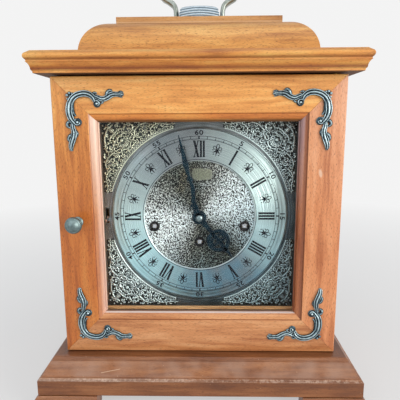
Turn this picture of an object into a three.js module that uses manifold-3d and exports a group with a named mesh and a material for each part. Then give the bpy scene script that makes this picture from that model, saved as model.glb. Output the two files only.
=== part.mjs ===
// Bracket clock: a wooden case with a glazed door, a triple-wind chiming movement and a carrying handle.
// Millimetres. The clock stands on Z = 0, faces -Y and is centred on X = 0, Y = 0.
import * as THREE from 'three';
import { mergeVertices } from 'three/addons/utils/BufferGeometryUtils.js';
import Module from 'manifold-3d';

// Clearances
const seatGap = 0.3; // between pieces that are glued, screwed or laid together
const pinGap = 0.15; // round a pin or arbor that turns
const mitreGap = 0.1; // each side of a mitre, along the rail
const swingGap = 0.8; // between the door and the case behind it

// Door and glass
const doorWidth = 260;
const doorHeight = 260;
const doorThick = 20;
const railFace = 32.5; // flat front of each rail and stile
const railMoulding = 7.5; // moulded step from the flat face to the sight line
const mouldingDrop = 6; // how far that step falls back
const lipThick = 2; // wood in front of the glass
const rebateWidth = 4;
const glassThick = 2.5;
const stripThick = 5;
const pivotInset = 8; // door pivot from the door's right and back faces
const pivotRadius = 1.5;
const pivotDepth = 6; // how deep each pivot enters the wood

// Case
const carcassDepth = 153; // from the front of the door to the back of the case
const boardThick = 10;
const frontFrameThick = 14;
const backFrameThick = 9;
const baseTop = 47.5;
const plinthTop = 30;
const plinthBottom = 14.3;
const floorThick = 12;
const plinthSpread = 22.4; // how far the plinth stands out of the case
const baseTopSpread = 8;
const baseBead = 2.9;
const doorBottomGap = 0.6;
const doorTopGap = 1.4;
const cornicePlate = 18.5;
const corniceSpread = 16; // the nose's reach out of the case
const hoodBorder = 20; // from the case's side to the foot of the hood
const hoodRise = 33.5;
const hoodRun = 30;
const capThick = 6.5;
const footFront = 56;
const footSide = 46;
const footThick = 16;
const footSwell = 3.6; // how far a foot bulges past the plinth

// Knob and corner ornaments
const knobStand = 20;
const knobRadius = 7.7;
const knobShift = 2; // from the stile's middle towards the door's edge
const ornamentReach = 52;
const ornamentInset = 13.2; // from the door's edges to the ornament's corner
const ornamentThick = 3.4;

// Handle
const handleThick = 4.6;
const handleWide = 14;
const handleFoot = 23.4; // leg centre line at the cap
const handleHeight = 46;
const handleReach = 42; // leg centre line at its widest
const saddleHeight = 12.9;
const saddleDepth = 26;

// Dial
const dialSize = 191;
const dialThick = 2;
const dialDrop = 0.6; // dial centre below the door's middle
const dialSetback = 26.5; // dial plate behind the door's front face
const ringBorder = 9.8; // from the dial plate's edge to the ring
const ringWidth = 31.6;
const ringThick = 1.2;
const spandrelThick = 2.5;
const spandrelGap = 2.9; // from the ring to the spandrels
const arborInset = 9.6; // side winding arbors inside the ring
const sideArborDrop = 10.5;
const centreArborDrop = 26.5;
const grommetRadius = 5.2;
const dialFootRadius = 1.5;
const slotInset = 4.7; // from the dial plate's edge to the lever's slot
const slotLength = 15.2;
const slotWidth = 3.2;

// Hands
const minuteLength = 81;
const hourLength = 51;
const handThick = 1;
const minuteAngle = -13.5; // degrees clockwise from XII
const hourAngle = 141;
const hourHandStand = 6; // hour hand's back above the chapter ring
const minuteHandStand = 8.9;
const nutRadius = 3.3;
const nutThick = 2.8;

// Movement
const plateMargin = 21.5; // plates outside the side arbors
const plateThick = 2;
const plateSpace = 56; // between the two plates
const motionSpace = 10; // between the dial plate and the front plate
const plateTopRise = 42; // above the hand arbor
const barrelGap = 4.5; // between neighbouring barrels, side to side
const barrelLength = 42;
const arborRadius = 2.3;
const squareSide = 3.6;
const arborSink = 1.6; // winding square's end behind the chapter ring's face
const pillarRadius = 3;
const minuteArborRadius = 1.5;
const seatThick = 10;
const seatTop = 110;
const cannonTeeth = 12;
const minuteWheelTeeth = 36;
const minutePinionTeeth = 10;
const hourWheelTeeth = 40;
const gearCentres = 19.2;
const gearThick = 1.6;
const balanceRadius = 8;

// Chime
const rodCount = 4;
const rodPitch = 12;
const rodRadius = 1.3;
const rodLength = 170;
const chimeFootLength = 16;
const chimeFootInset = 4; // from the case's side to the block that holds the rods
const hammerPivotReach = 44; // from that block to the hammers' spindle
const hammerPivotDrop = 14; // spindle below the seat board
const headRadius = 4;
const hammerReach = 24;
const hammerArmThick = 2;
const spindleRadius = 2.4;
const hammerPinRadius = 1.2;
const bracketHalf = 3;
const rodHeight = 62;
const hammerLift = 3; // hammer heads above the rods

// Back door
const rearSideRail = 30; // back frame beside, under and over the opening
const rearBottomRail = 26.2;
const rearTopRail = 19.2;
const soundSlotCount = 5;
const soundSlotPitch = 24;
const soundSlotWidth = 6;
const soundSlotInset = 60; // from the door's top and bottom edges

const wasm = await Module();
wasm.setup();

// ---- geometry helpers ----

function bareGeometry(positions, index) {
  const geometry = new THREE.BufferGeometry();
  geometry.setAttribute('position', new THREE.Float32BufferAttribute(positions, 3));
  geometry.setIndex(index);
  return geometry;
}

// Merges shared corners, drops flat triangles and turns the faces outwards.
function closed(geometry) {
  const bare = geometry.clone();
  for (const name of Object.keys(bare.attributes)) {
    if (name !== 'position') bare.deleteAttribute(name);
  }
  const merged = mergeVertices(bare, 1e-4);
  const position = merged.attributes.position;
  const index = [];
  const corner = [0, 1, 2].map(() => new THREE.Vector3());
  let volume = 0;
  for (let i = 0; i < merged.index.count; i += 3) {
    const face = [0, 1, 2].map((k) => merged.index.getX(i + k));
    if (new Set(face).size < 3) continue;
    face.forEach((v, k) => corner[k].fromBufferAttribute(position, v));
    volume += corner[0].dot(corner[1].clone().cross(corner[2]));
    index.push(...face);
  }
  return bareGeometry(Array.from(position.array), volume > 0 ? index : index.reverse());
}

function toManifold(geometry) {
  const body = closed(geometry);
  return new wasm.Manifold(new wasm.Mesh({
    numProp: 3,
    vertProperties: Float32Array.from(body.attributes.position.array),
    triVerts: Uint32Array.from(body.index.array),
  }));
}

function fromManifold(body) {
  const { vertProperties, triVerts } = body.getMesh();
  return bareGeometry(Array.from(vertProperties), Array.from(triVerts));
}

const cut = (geometry, ...tools) =>
  fromManifold(tools.reduce((body, tool) => body.subtract(toManifold(tool)), toManifold(geometry)));

const join = (geometry, ...others) =>
  fromManifold(others.reduce((body, other) => body.add(toManifold(other)), toManifold(geometry)));

function block([x0, x1], [y0, y1], [z0, z1]) {
  const geometry = new THREE.BoxGeometry(x1 - x0, y1 - y0, z1 - z0);
  return geometry.translate((x0 + x1) / 2, (y0 + y1) / 2, (z0 + z1) / 2);
}

// A flat shape drawn in X and Z, as seen from the front, with its thickness along Y.
function panel(shape, yFront, yBack, curveSegments = 12) {
  const depth = yBack - yFront;
  const geometry = new THREE.ExtrudeGeometry(shape, { depth, bevelEnabled: false, curveSegments });
  return closed(geometry.rotateX(Math.PI / 2).translate(0, yBack, 0));
}

// A round piece about a line parallel to Y; the profile holds [radius, y] pairs.
function turnedY(profile, segments, x = 0, z = 0) {
  const geometry = new THREE.LatheGeometry(profile.map(([r, y]) => new THREE.Vector2(r, y)), segments);
  return closed(geometry).translate(x, 0, z);
}

// A round piece about a vertical line; the profile holds [radius, z] pairs.
function turnedZ(profile, segments, x = 0, y = 0) {
  const geometry = new THREE.LatheGeometry(profile.map(([r, z]) => new THREE.Vector2(r, z)), segments);
  return closed(geometry).rotateX(Math.PI / 2).translate(x, y, 0);
}

const rodY = (radius, y0, y1, x, z, segments = 16) =>
  turnedY([[0, y0], [radius, y0], [radius, y1], [0, y1]], segments, x, z);

const rodZ = (radius, z0, z1, x, y, segments = 16) =>
  turnedZ([[0, z0], [radius, z0], [radius, z1], [0, z1]], segments, x, y);

// Flat triangles over one ring of points, wound the same way as the ring.
function capFaces(ring) {
  const normal = new THREE.Vector3();
  ring.forEach((p, i) => normal.add(p.clone().cross(ring[(i + 1) % ring.length])));
  const [ax, ay, az] = normal.toArray().map(Math.abs);
  const flat = (p) => {
    if (az >= ax && az >= ay) return new THREE.Vector2(p.x, p.y);
    return ay >= ax ? new THREE.Vector2(p.z, p.x) : new THREE.Vector2(p.y, p.z);
  };
  const contour = ring.map(flat);
  const turn = Math.sign(THREE.ShapeUtils.area(contour));
  return THREE.ShapeUtils.triangulateShape(contour, []).map((face) => {
    const side = Math.sign(THREE.ShapeUtils.area(face.map((i) => contour[i])));
    return side === turn ? face : [face[0], face[2], face[1]];
  });
}

// Skins a row of rings that hold the same number of points, with a flat cap at each end.
function loft(rings) {
  const count = rings[0].length;
  const index = [];
  for (let r = 0; r < rings.length - 1; r += 1) {
    for (let i = 0; i < count; i += 1) {
      const a = r * count + i;
      const b = r * count + ((i + 1) % count);
      index.push(a, b, b + count, a, b + count, a + count);
    }
  }
  const last = (rings.length - 1) * count;
  capFaces(rings[0]).forEach(([a, b, c]) => index.push(a, c, b));
  capFaces(rings[rings.length - 1]).forEach(([a, b, c]) => index.push(a + last, b + last, c + last));
  return closed(bareGeometry(rings.flat().flatMap((p) => p.toArray()), index));
}

const corners = [[-1, -1], [1, -1], [1, 1], [-1, 1]];

// A rectangular moulded block: each [spread, z] pair is a rectangle that much larger than the case.
function mouldedBlock(profile, halfX, halfY) {
  return loft(profile.map(([spread, z]) =>
    corners.map(([sx, sy]) => new THREE.Vector3(sx * (halfX + spread), sy * (halfY + spread), z))));
}

// An S-shaped run of points from one [spread, z] corner to another.
function ogee([s0, z0], [s1, z1], steps) {
  return Array.from({ length: steps + 1 }, (_, i) => {
    const t = i / steps;
    return [s0 + (s1 - s0) * t, z0 + (z1 - z0) * (0.5 - 0.5 * Math.cos(Math.PI * t))];
  });
}

// A quarter of an ellipse from angle a0 to a1 (degrees) about a centre.
function arc([cs, cz], rs, rz, a0, a1, steps) {
  return Array.from({ length: steps + 1 }, (_, i) => {
    const a = THREE.MathUtils.degToRad(a0 + ((a1 - a0) * i) / steps);
    return [cs + rs * Math.cos(a), cz + rz * Math.sin(a)];
  });
}

// The outline of a band that follows a smooth line; each knot is [x, z, half width].
function ribbon(knots, steps) {
  const line = new THREE.CatmullRomCurve3(knots.map(([x, z, w]) => new THREE.Vector3(x, z, w)));
  const left = [];
  const right = [];
  for (let i = 0; i <= steps; i += 1) {
    const p = line.getPoint(i / steps);
    const d = line.getTangent(i / steps);
    const long = Math.hypot(d.x, d.y);
    const side = new THREE.Vector2(-d.y / long, d.x / long).multiplyScalar(p.z);
    left.push(new THREE.Vector2(p.x + side.x, p.y + side.y));
    right.unshift(new THREE.Vector2(p.x - side.x, p.y - side.y));
  }
  return new THREE.Shape([...left, ...right]);
}

function disc(radius, x = 0, z = 0) {
  return new THREE.Shape().absarc(x, z, radius, 0, 2 * Math.PI);
}

function rectangle(x0, x1, z0, z1) {
  return new THREE.Shape([[x0, z0], [x1, z0], [x1, z1], [x0, z1]].map(([x, z]) => new THREE.Vector2(x, z)));
}

// ---- planes and heights that follow from the sizes ----

const halfWidth = doorWidth / 2;
const halfDepth = carcassDepth / 2;
const doorFront = -halfDepth;
const doorBack = doorFront + doorThick;
const caseFront = doorBack + swingGap;
const doorBottom = baseTop + doorBottomGap;
const doorTop = doorBottom + doorHeight;
const doorMiddle = doorBottom + doorHeight / 2;
const corniceBottom = doorTop + doorTopGap;
const corniceTop = corniceBottom + cornicePlate;
const hoodTop = corniceTop + hoodRise;
const capTop = hoodTop + seatGap + capThick;
const carcassBottom = baseTop + seatGap;
const carcassTop = corniceBottom - seatGap;
const dialZ = doorMiddle - dialDrop;
const dialFront = doorFront + dialSetback;
const dialBack = dialFront + dialThick;
const ringBack = dialFront - seatGap;
const ringFace = ringBack - ringThick;
const pivotX = halfWidth - pivotInset;
const pivotY = doorBack - pivotInset;
const frontPlateFront = dialBack + motionSpace;
const frontPlateBack = frontPlateFront + plateThick;
const backPlateFront = frontPlateBack + plateSpace;
const backPlateBack = backPlateFront + plateThick;
const plateBottom = seatTop + seatGap;
const plateTop = dialZ + plateTopRise;
const rearOpeningWidth = doorWidth - 2 * rearSideRail;
const rearOpeningBottom = carcassBottom + rearBottomRail;
const rearOpeningTop = carcassTop - rearTopRail;
const backFrameFront = halfDepth - backFrameThick;
const ringOuter = dialSize / 2 - ringBorder;
const ringInner = ringOuter - ringWidth;
const spandrelInner = ringOuter + spandrelGap;
const sideArborX = ringInner - arborInset;
const slotX = dialSize / 2 - slotInset;
const plateWidth = 2 * (sideArborX + plateMargin);
const barrelRadius = (sideArborX - barrelGap) / 2;
const arborPlaces = {
  chime: [-sideArborX, dialZ - sideArborDrop],
  time: [0, dialZ - centreArborDrop],
  strike: [sideArborX, dialZ - sideArborDrop],
};

// ---- finishes ----

const finish = (color, roughness, metalness = 0) =>
  new THREE.MeshStandardMaterial({ color, roughness, metalness });
const caseWood = finish(0xc98f55, 0.42);
const baseWood = finish(0x8c5a3a, 0.45);
const plainWood = finish(0xa77a4c, 0.7);
const agedPewter = finish(0x5f7373, 0.4, 0.9);
const dialBrass = finish(0xa89660, 0.35, 1);
const ringSilver = finish(0xb9bec0, 0.35, 1);
const plateBrass = finish(0xc4a35a, 0.3, 1);
const blueSteel = finish(0x1d2a38, 0.3, 0.9);
const brightSteel = finish(0xb8bcc2, 0.25, 1);
const blackIron = finish(0x2a2a2c, 0.6, 0.6);
const blackPlastic = finish(0x101010, 0.4);
const paleBrass = finish(0xb8b49a, 0.35, 1);
const clearGlass = finish(0xe8f2f2, 0.05);
clearGlass.transparent = true;
clearGlass.opacity = 0.2;

const clock = new THREE.Group();

function place(name, geometry, material, parent = clock) {
  const mesh = new THREE.Mesh(geometry, material.clone());
  mesh.name = name;
  parent.add(mesh);
  return mesh;
}

// ---- base and feet ----

function baseProfile() {
  const step = 1.6;
  const beadSide = [baseTopSpread + baseBead, baseTop - baseBead - 0.4];
  return [
    [plinthSpread, plinthBottom],
    [plinthSpread, plinthTop],
    [plinthSpread - step, plinthTop + step / 2],
    ...ogee([plinthSpread - step - 0.4, plinthTop + step], beadSide, 7),
    ...arc([baseTopSpread, baseTop - baseBead], baseBead, baseBead, 0, 90, 4),
  ];
}

function addBase() {
  const body = mouldedBlock(baseProfile(), halfWidth, halfDepth);
  const recess = block(
    [-halfWidth, halfWidth],
    [-halfDepth, halfDepth],
    [plinthBottom - 1, baseTop - floorThick],
  );
  const pinHole = rodZ(pivotRadius + pinGap, baseTop - pivotDepth, baseTop + 1, pivotX, pivotY);
  place('base', cut(body, recess, pinHole), baseWood);
}

// A bracket foot: an L in plan whose outer faces swell below the plinth.
function footGeometry(sx, sy) {
  const top = plinthBottom - seatGap;
  const swell = [[0.33, 0], [0.83, 0.21], [1, 0.53], [0.78, 0.79], [0.06, 1]];
  const profile = swell.map(([out, up]) => [plinthSpread + footSwell * out, top * up]);
  const innerX = halfWidth + plinthSpread - footThick;
  const innerY = halfDepth + plinthSpread - footThick;
  const endX = halfWidth + plinthSpread - footFront;
  const endY = halfDepth + plinthSpread - footSide;
  return loft(profile.map(([spread, z]) => {
    const x = halfWidth + spread;
    const y = halfDepth + spread;
    return [[x, y], [endX, y], [endX, innerY], [innerX, innerY], [innerX, endY], [x, endY]]
      .map(([px, py]) => new THREE.Vector3(sx * px, sy * py, z));
  }));
}

function addFeet() {
  for (const [front, sy] of [['front', -1], ['back', 1]]) {
    for (const [side, sx] of [['left', -1], ['right', 1]]) {
      place(`foot_${front}_${side}`, footGeometry(sx, sy), baseWood);
    }
  }
}

// ---- carcass ----

function addSides() {
  const inner = halfWidth - boardThick;
  const yBack = backFrameFront - seatGap;
  const yFront = caseFront + frontFrameThick + seatGap;
  for (const [side, sx] of [['left', -1], ['right', 1]]) {
    const xs = sx < 0 ? [-halfWidth, -inner] : [inner, halfWidth];
    place(`side_${side}`, block(xs, [yFront, yBack], [carcassBottom, carcassTop]), caseWood);
  }
}

function addFrontFrame() {
  const shape = rectangle(-halfWidth, halfWidth, carcassBottom, carcassTop);
  const half = dialSize / 2 + seatGap;
  shape.holes.push(rectangle(-half, half, dialZ - half, dialZ + half));
  place('front_frame', panel(shape, caseFront, caseFront + frontFrameThick), caseWood);
}

const rearPinX = rearOpeningWidth / 2 - backFrameThick / 2 - seatGap;
const rearPinY = backFrameFront + backFrameThick / 2;

function addBackFrame() {
  const shape = rectangle(-halfWidth, halfWidth, carcassBottom, carcassTop);
  const half = rearOpeningWidth / 2;
  shape.holes.push(rectangle(-half, half, rearOpeningBottom, rearOpeningTop));
  const hole = rodZ(
    pivotRadius + pinGap,
    rearOpeningBottom - pivotDepth,
    rearOpeningTop + pivotDepth,
    rearPinX,
    rearPinY,
  );
  place('back_frame', cut(panel(shape, backFrameFront, halfDepth), hole), caseWood);
}

// ---- cornice, hood and cap ----

// Each pair is a share of the cornice's spread and of its height.
function corniceProfile() {
  const shares = [
    [0.644, 0], [0.662, 0.097], [0.7, 0.114],
    ...arc([1.037, 0.168], 0.306, 0.346, 180, 112, 4),
    [0.888, 0.497], [0.888, 0.541],
    ...arc([0.787, 0.73], 0.213, 0.184, -60, 60, 5),
    [0.806, 0.94], [0.712, 1],
  ];
  return shares.map(([out, up]) => [corniceSpread * out, corniceBottom + cornicePlate * up]);
}

function addCornice() {
  const body = mouldedBlock(corniceProfile(), halfWidth, halfDepth);
  const pinHole = rodZ(pivotRadius + pinGap, corniceBottom - 1, corniceBottom + pivotDepth, pivotX, pivotY);
  place('cornice', cut(body, pinHole), caseWood);
}

// One shaped block with a quarter-round on all four sides.
function hoodGeometry() {
  const foot = corniceTop + seatGap;
  const step = 1.2; // plain edge under the curve
  const quarter = arc([-hoodBorder - hoodRun, foot + step], hoodRun, hoodTop - foot - step, 0, 90, 9);
  return mouldedBlock([[-hoodBorder, foot], ...quarter], halfWidth, halfDepth);
}

const capSpread = -hoodBorder - hoodRun;

function addTop() {
  place('hood', hoodGeometry(), caseWood);
  const z = hoodTop + seatGap;
  const edge = 0.8;
  place('cap_board', mouldedBlock([
    [capSpread - edge, z],
    [capSpread, z + edge],
    [capSpread, capTop - edge],
    [capSpread - edge, capTop],
  ], halfWidth, halfDepth), caseWood);
}

// ---- handle ----

// Centre line of the handle, from the left foot over the grip to the right foot.
function handleLine() {
  const foot = capTop + seatGap;
  const flare = handleReach - handleFoot;
  const crown = handleHeight - handleThick / 2;
  const shares = [
    [0, 0], [0, 0.16], [0.03, 0.28], [0.12, 0.36], [0.34, 0.44], [0.7, 0.54], [1, 0.76], [0.6, 0.92],
  ];
  const half = shares.map(([out, up]) => [handleFoot + flare * out, foot + crown * up]);
  half.push([handleReach / 2, foot + crown * 0.97]);
  const left = half.map(([x, z]) => new THREE.Vector3(-x, 0, z));
  const right = half.map(([x, z]) => new THREE.Vector3(x, 0, z)).reverse();
  const top = new THREE.Vector3(0, 0, foot + crown);
  return new THREE.CatmullRomCurve3([...left, top, ...right], false, 'catmullrom', 0.5);
}

// Corners of the handle's section, as shares of its half width and half thickness.
const soft = 0.55;
const section = [
  [-1, -soft], [-soft, -1], [soft, -1], [1, -soft], [1, soft], [soft, 1], [-soft, 1], [-1, soft],
];

function handleGeometry() {
  const steps = 34;
  const line = handleLine();
  const rings = [];
  for (let i = 0; i <= steps; i += 1) {
    const p = line.getPoint(i / steps);
    const d = i === 0 || i === steps
      ? new THREE.Vector3(0, 0, i === 0 ? 1 : -1)
      : line.getTangent(i / steps).setY(0).normalize();
    const out = new THREE.Vector3(-d.z, 0, d.x);
    const grip = Math.sin((Math.PI * i) / steps) ** 2;
    const halfY = (handleWide / 2) * (1 - 0.3 * grip);
    const halfT = (handleThick / 2) * (1 + 0.5 * grip);
    rings.push(section.map(([u, v]) =>
      p.clone().addScaledVector(out, halfT * v).add(new THREE.Vector3(0, halfY * u, 0))));
  }
  return loft(rings);
}

// The arched, banded block between the handle's legs.
function saddleGeometry() {
  const foot = capTop + seatGap;
  const halfFoot = handleFoot - handleThick / 2 - seatGap * 2;
  const bandCount = 3;
  const bandStep = 0.8;
  const rise = saddleHeight - seatGap;
  const crownRise = rise * 0.21;
  const shoulder = rise - crownRise;
  const left = [];
  for (let band = 0; band < bandCount; band += 1) {
    const z0 = foot + (shoulder * band) / bandCount;
    const z1 = foot + (shoulder * (band + 1)) / bandCount;
    const x = halfFoot - bandStep * band;
    left.push([-x, z0], [-x, z1 - bandStep / 2], [-x + bandStep / 2, z1]);
  }
  const halfTop = halfFoot - bandStep * bandCount;
  const crown = arc([0, foot + shoulder], halfTop, crownRise, 180, 0, 10);
  const outline = [...left, ...crown, ...left.map(([x, z]) => [-x, z]).reverse()];
  const shape = new THREE.Shape(outline.map(([x, z]) => new THREE.Vector2(x, z)));
  return panel(shape, -saddleDepth / 2, saddleDepth / 2);
}

function addHandle() {
  place('handle', handleGeometry(), paleBrass);
  place('handle_saddle', saddleGeometry(), paleBrass);
}

// ---- front door ----

const sight = railFace + railMoulding;
const lipBack = mouldingDrop + lipThick;
const rebate = sight - rebateWidth;

// Section of a rail: [inset from the door's outer edge, depth behind its front face].
function railSection() {
  const quirk = 1;
  const ovolo = arc([railFace + 0.6, mouldingDrop], railMoulding - 0.6, mouldingDrop - quirk, -90, 0, 4);
  return [
    [0.8, 0],
    [railFace, 0],
    [railFace, quirk],
    ...ovolo,
    [sight, lipBack],
    [rebate, lipBack],
    [rebate, doorThick],
    [0, doorThick],
    [0, 0.8],
  ];
}

// A mitred member: along the top (0), left (1), bottom (2) or right (3) of the door.
function railGeometry(turn) {
  const [longHalf, across] = turn % 2 ? [doorHeight / 2, doorWidth / 2] : [doorWidth / 2, doorHeight / 2];
  const end = (s) => railSection().map(([u, y]) => {
    const flat = new THREE.Vector2(s * (longHalf - u - mitreGap), across - u);
    flat.rotateAround(new THREE.Vector2(), (turn * Math.PI) / 2);
    return new THREE.Vector3(flat.x, doorFront + y, flat.y + doorMiddle);
  });
  return loft([end(-1), end(1)]);
}

// What is cut away so that the door's hinged edge is round about its pivot.
function hingedEdgeWaste() {
  const over = 1;
  const corner = block(
    [pivotX, halfWidth + over],
    [pivotY, doorBack + over],
    [doorBottom - over, doorTop + over],
  );
  return cut(corner, rodZ(pivotInset, doorBottom - 2 * over, doorTop + 2 * over, pivotX, pivotY, 32));
}

function addDoorFrame() {
  const waste = hingedEdgeWaste();
  const topHole = rodZ(pivotRadius + pinGap, doorTop - pivotDepth, doorTop + 1, pivotX, pivotY);
  const bottomHole = rodZ(pivotRadius + pinGap, doorBottom - 1, doorBottom + pivotDepth, pivotX, pivotY);
  place('door_top_rail', cut(railGeometry(0), waste, topHole), caseWood);
  place('door_left_stile', railGeometry(1), caseWood);
  place('door_bottom_rail', cut(railGeometry(2), waste, bottomHole), caseWood);
  place('door_right_stile', cut(railGeometry(3), waste), caseWood);
}

function addDoorPivots() {
  const reach = pivotDepth - seatGap;
  const top = rodZ(pivotRadius, doorTop - reach, corniceBottom + reach, pivotX, pivotY, 12);
  const bottom = rodZ(pivotRadius, baseTop - reach, doorBottom + reach, pivotX, pivotY, 12);
  place('door_pivot_top', top, plateBrass);
  place('door_pivot_bottom', bottom, plateBrass);
}

function addGlass() {
  const halfX = doorWidth / 2 - rebate - seatGap;
  const halfZ = doorHeight / 2 - rebate - seatGap;
  const front = doorFront + lipBack + seatGap;
  const back = front + glassThick;
  const across = [-halfX, halfX];
  const low = doorMiddle - halfZ;
  const high = doorMiddle + halfZ;
  place('door_glass', block(across, [front, back], [low, high]), clearGlass);
  const strip = [back + seatGap, back + seatGap + stripThick];
  const wide = rebateWidth - seatGap;
  place('glass_strip_top', block(across, strip, [high - wide, high]), plainWood);
  place('glass_strip_bottom', block(across, strip, [low, low + wide]), plainWood);
}

// Each pair is a share of the knob's radius and of its stand from the door.
function addKnob() {
  const face = doorFront - seatGap;
  const shares = [
    [0, 0], [0.65, 0], [0.65, 0.075], [0.39, 0.15], [0.37, 0.45], [0.55, 0.55], [0.94, 0.63],
    [1, 0.71], [0.91, 0.81], [0.52, 0.92], [0.2, 0.97], [0, 1],
  ];
  const profile = shares.map(([out, up]) => [knobRadius * out, face - (knobStand - seatGap) * up]);
  place('door_knob', turnedY(profile, 20, -halfWidth + sight / 2 - knobShift, dialZ), agedPewter);
}

// Corner ornament, drawn for the top left corner: x runs along the top, z down the side.
function ornamentGeometry(sx, sz) {
  const drawn = 52; // the reach at which the lines below are drawn
  const k = ornamentReach / drawn;
  const halfLoop = [[27.2, 9.4, 1.6], [24.2, 5, 2.3], [18.1, 2.7, 2.6], [12, 3.2, 2.7], [7.2, 7.2, 2.9]];
  const tail = [
    [25.5, 2.6, 1.2], [30, 4.6, 1.8], [34.2, 6.6, 1.9], [38.6, 4.6, 2.2], [44.5, 2.9, 1.9], [51.5, 4.6, 0.8],
  ];
  const mirrored = (knots) => knots.map(([x, z, w]) => [z, x, w]);
  const loop = [...halfLoop, ...mirrored(halfLoop.slice(0, -1)).reverse()];
  const discs = [[3.4, 27.7, 10.9], [3.4, 10.9, 27.7], [2.1, 39.8, 1.8], [2.1, 1.8, 39.8], [3.4, 3.6, 3.6]];
  const back = doorFront - seatGap;
  const leaf = (shape, curveSegments) => panel(shape, back - ornamentThick, back, curveSegments);
  const solid = join(
    leaf(ribbon(loop, 16)),
    leaf(ribbon(tail, 9)),
    leaf(ribbon(mirrored(tail), 9)),
    ...discs.map(([r, x, z]) => leaf(disc(r, x, z), 4)),
  );
  const inset = halfWidth - ornamentInset;
  const drop = doorHeight / 2 - ornamentInset;
  return closed(solid.scale(sx * k, 1, sz * k)).translate(-sx * inset, 0, doorMiddle - sz * drop);
}

function addOrnaments() {
  for (const [row, sz] of [['top', -1], ['bottom', 1]]) {
    for (const [side, sx] of [['left', 1], ['right', -1]]) {
      place(`ornament_${row}_${side}`, ornamentGeometry(sx, sz), agedPewter);
    }
  }
}

// ---- dial ----

function addDialPlate() {
  const half = dialSize / 2;
  const shape = rectangle(-half, half, dialZ - half, dialZ + half);
  const bush = grommetRadius - 0.9;
  shape.holes.push(disc(hourPipeOuter + 1, 0, dialZ));
  for (const [x, z] of Object.values(arborPlaces)) shape.holes.push(disc(bush, x, z));
  const slot = slotWidth / 2;
  shape.holes.push(rectangle(-slotX - slot, -slotX + slot, dialZ - slotLength / 2, dialZ + slotLength / 2));
  const footX = plateWidth / 2 - 6;
  const footZ = plateTopRise - 8;
  const feet = corners.map(([sx, sz]) =>
    rodY(dialFootRadius, dialBack - 0.5, frontPlateFront - seatGap, sx * footX, dialZ + sz * footZ, 8));
  place('dial_plate', join(panel(shape, dialFront, dialBack, 8), ...feet), dialBrass);
}

function addChapterRing() {
  const profile = [[ringInner, ringBack], [ringOuter, ringBack], [ringOuter, ringFace], [ringInner, ringFace]];
  place('chapter_ring', turnedY([...profile, profile[0]], 64, 0, dialZ), ringSilver);
}

// A pierced corner mount whose inner edge follows the chapter ring.
function spandrelGeometry(sx, sz) {
  const drawn = 191; // the dial size at which the lines below are drawn
  const k = dialSize / drawn;
  const outer = 92.9 * k;
  const tip = 24 * k;
  const start = Math.atan2(tip, 89.9 * k);
  const steps = 12;
  const points = [[outer, tip], [outer, outer], [tip, outer]];
  for (let i = 0; i <= steps; i += 1) {
    const a = Math.PI / 2 - start - ((Math.PI / 2 - 2 * start) * i) / steps;
    const swell = 1 + 0.05 * Math.sin((Math.PI * i) / steps);
    points.push([spandrelInner * Math.cos(a) * swell, spandrelInner * Math.sin(a) * swell]);
  }
  const shape = new THREE.Shape(points.map(([x, z]) => new THREE.Vector2(x, z)));
  for (const [x, z, r] of [[66, 84, 2.6], [84, 66, 2.6], [52, 86.5, 2], [86.5, 52, 2]]) {
    shape.holes.push(disc(r * k, x * k, z * k));
  }
  const geometry = panel(shape, ringBack - spandrelThick, ringBack, 4);
  return closed(geometry.scale(sx, 1, sz)).translate(0, 0, dialZ);
}

function addSpandrels() {
  for (const [row, sz] of [['top', 1], ['bottom', -1]]) {
    for (const [side, sx] of [['left', -1], ['right', 1]]) {
      place(`spandrel_${row}_${side}`, spandrelGeometry(sx, sz), dialBrass);
    }
  }
}

function addGrommets() {
  const bore = squareSide * Math.SQRT1_2 + 0.4;
  const bush = grommetRadius - 0.9 - pinGap;
  const face = dialFront - seatGap;
  const profile = [
    [bore, face - 1.6], [grommetRadius - 0.6, face - 1.6], [grommetRadius, face - 1], [grommetRadius, face],
    [bush, face], [bush, dialBack], [bore, dialBack], [bore, face - 1.6],
  ];
  for (const [train, [x, z]] of Object.entries(arborPlaces)) {
    place(`grommet_${train}`, turnedY(profile, 16, x, z), blackPlastic);
  }
}

function addSilentLever() {
  const half = slotWidth / 2 - 0.6;
  const low = dialZ - slotLength / 2 + 2.6;
  const arm = block([-slotX - half, -slotX + half], [ringFace - 4, dialBack + 2], [low, low + 3]);
  const rear = dialBack + seatGap;
  const tail = block([-slotX - half, -slotX + 8], [rear, rear + 2], [low - 1, low + 4]);
  place('silent_lever', join(arm, tail), paleBrass);
}

// ---- hands and motion work ----

const hourPipeInner = minuteArborRadius + 0.9;
const hourPipeOuter = hourPipeInner + 0.9;
const hourHandBack = ringFace - hourHandStand;
const hourHandFront = hourHandBack - handThick;
const minuteHandBack = ringFace - minuteHandStand;
const minuteHandFront = minuteHandBack - handThick;
const nutBack = minuteHandFront - seatGap;
const nutFront = nutBack - nutThick;

// Turns a piece drawn about the origin clockwise from XII and carries it to the hand arbor.
const atDial = (geometry, degrees) =>
  geometry.rotateY(THREE.MathUtils.degToRad(degrees)).translate(0, 0, dialZ);

function handGeometry(shapes, bore, bossRadius, yFront, yBack) {
  const parts = shapes.map((shape) => panel(shape, yFront, yBack, 4));
  const boss = rodY(bossRadius, yFront, yBack, 0, 0, 20);
  return cut(join(boss, ...parts), rodY(bore, yFront - 1, yBack + 1, 0, 0, 16));
}

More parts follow.
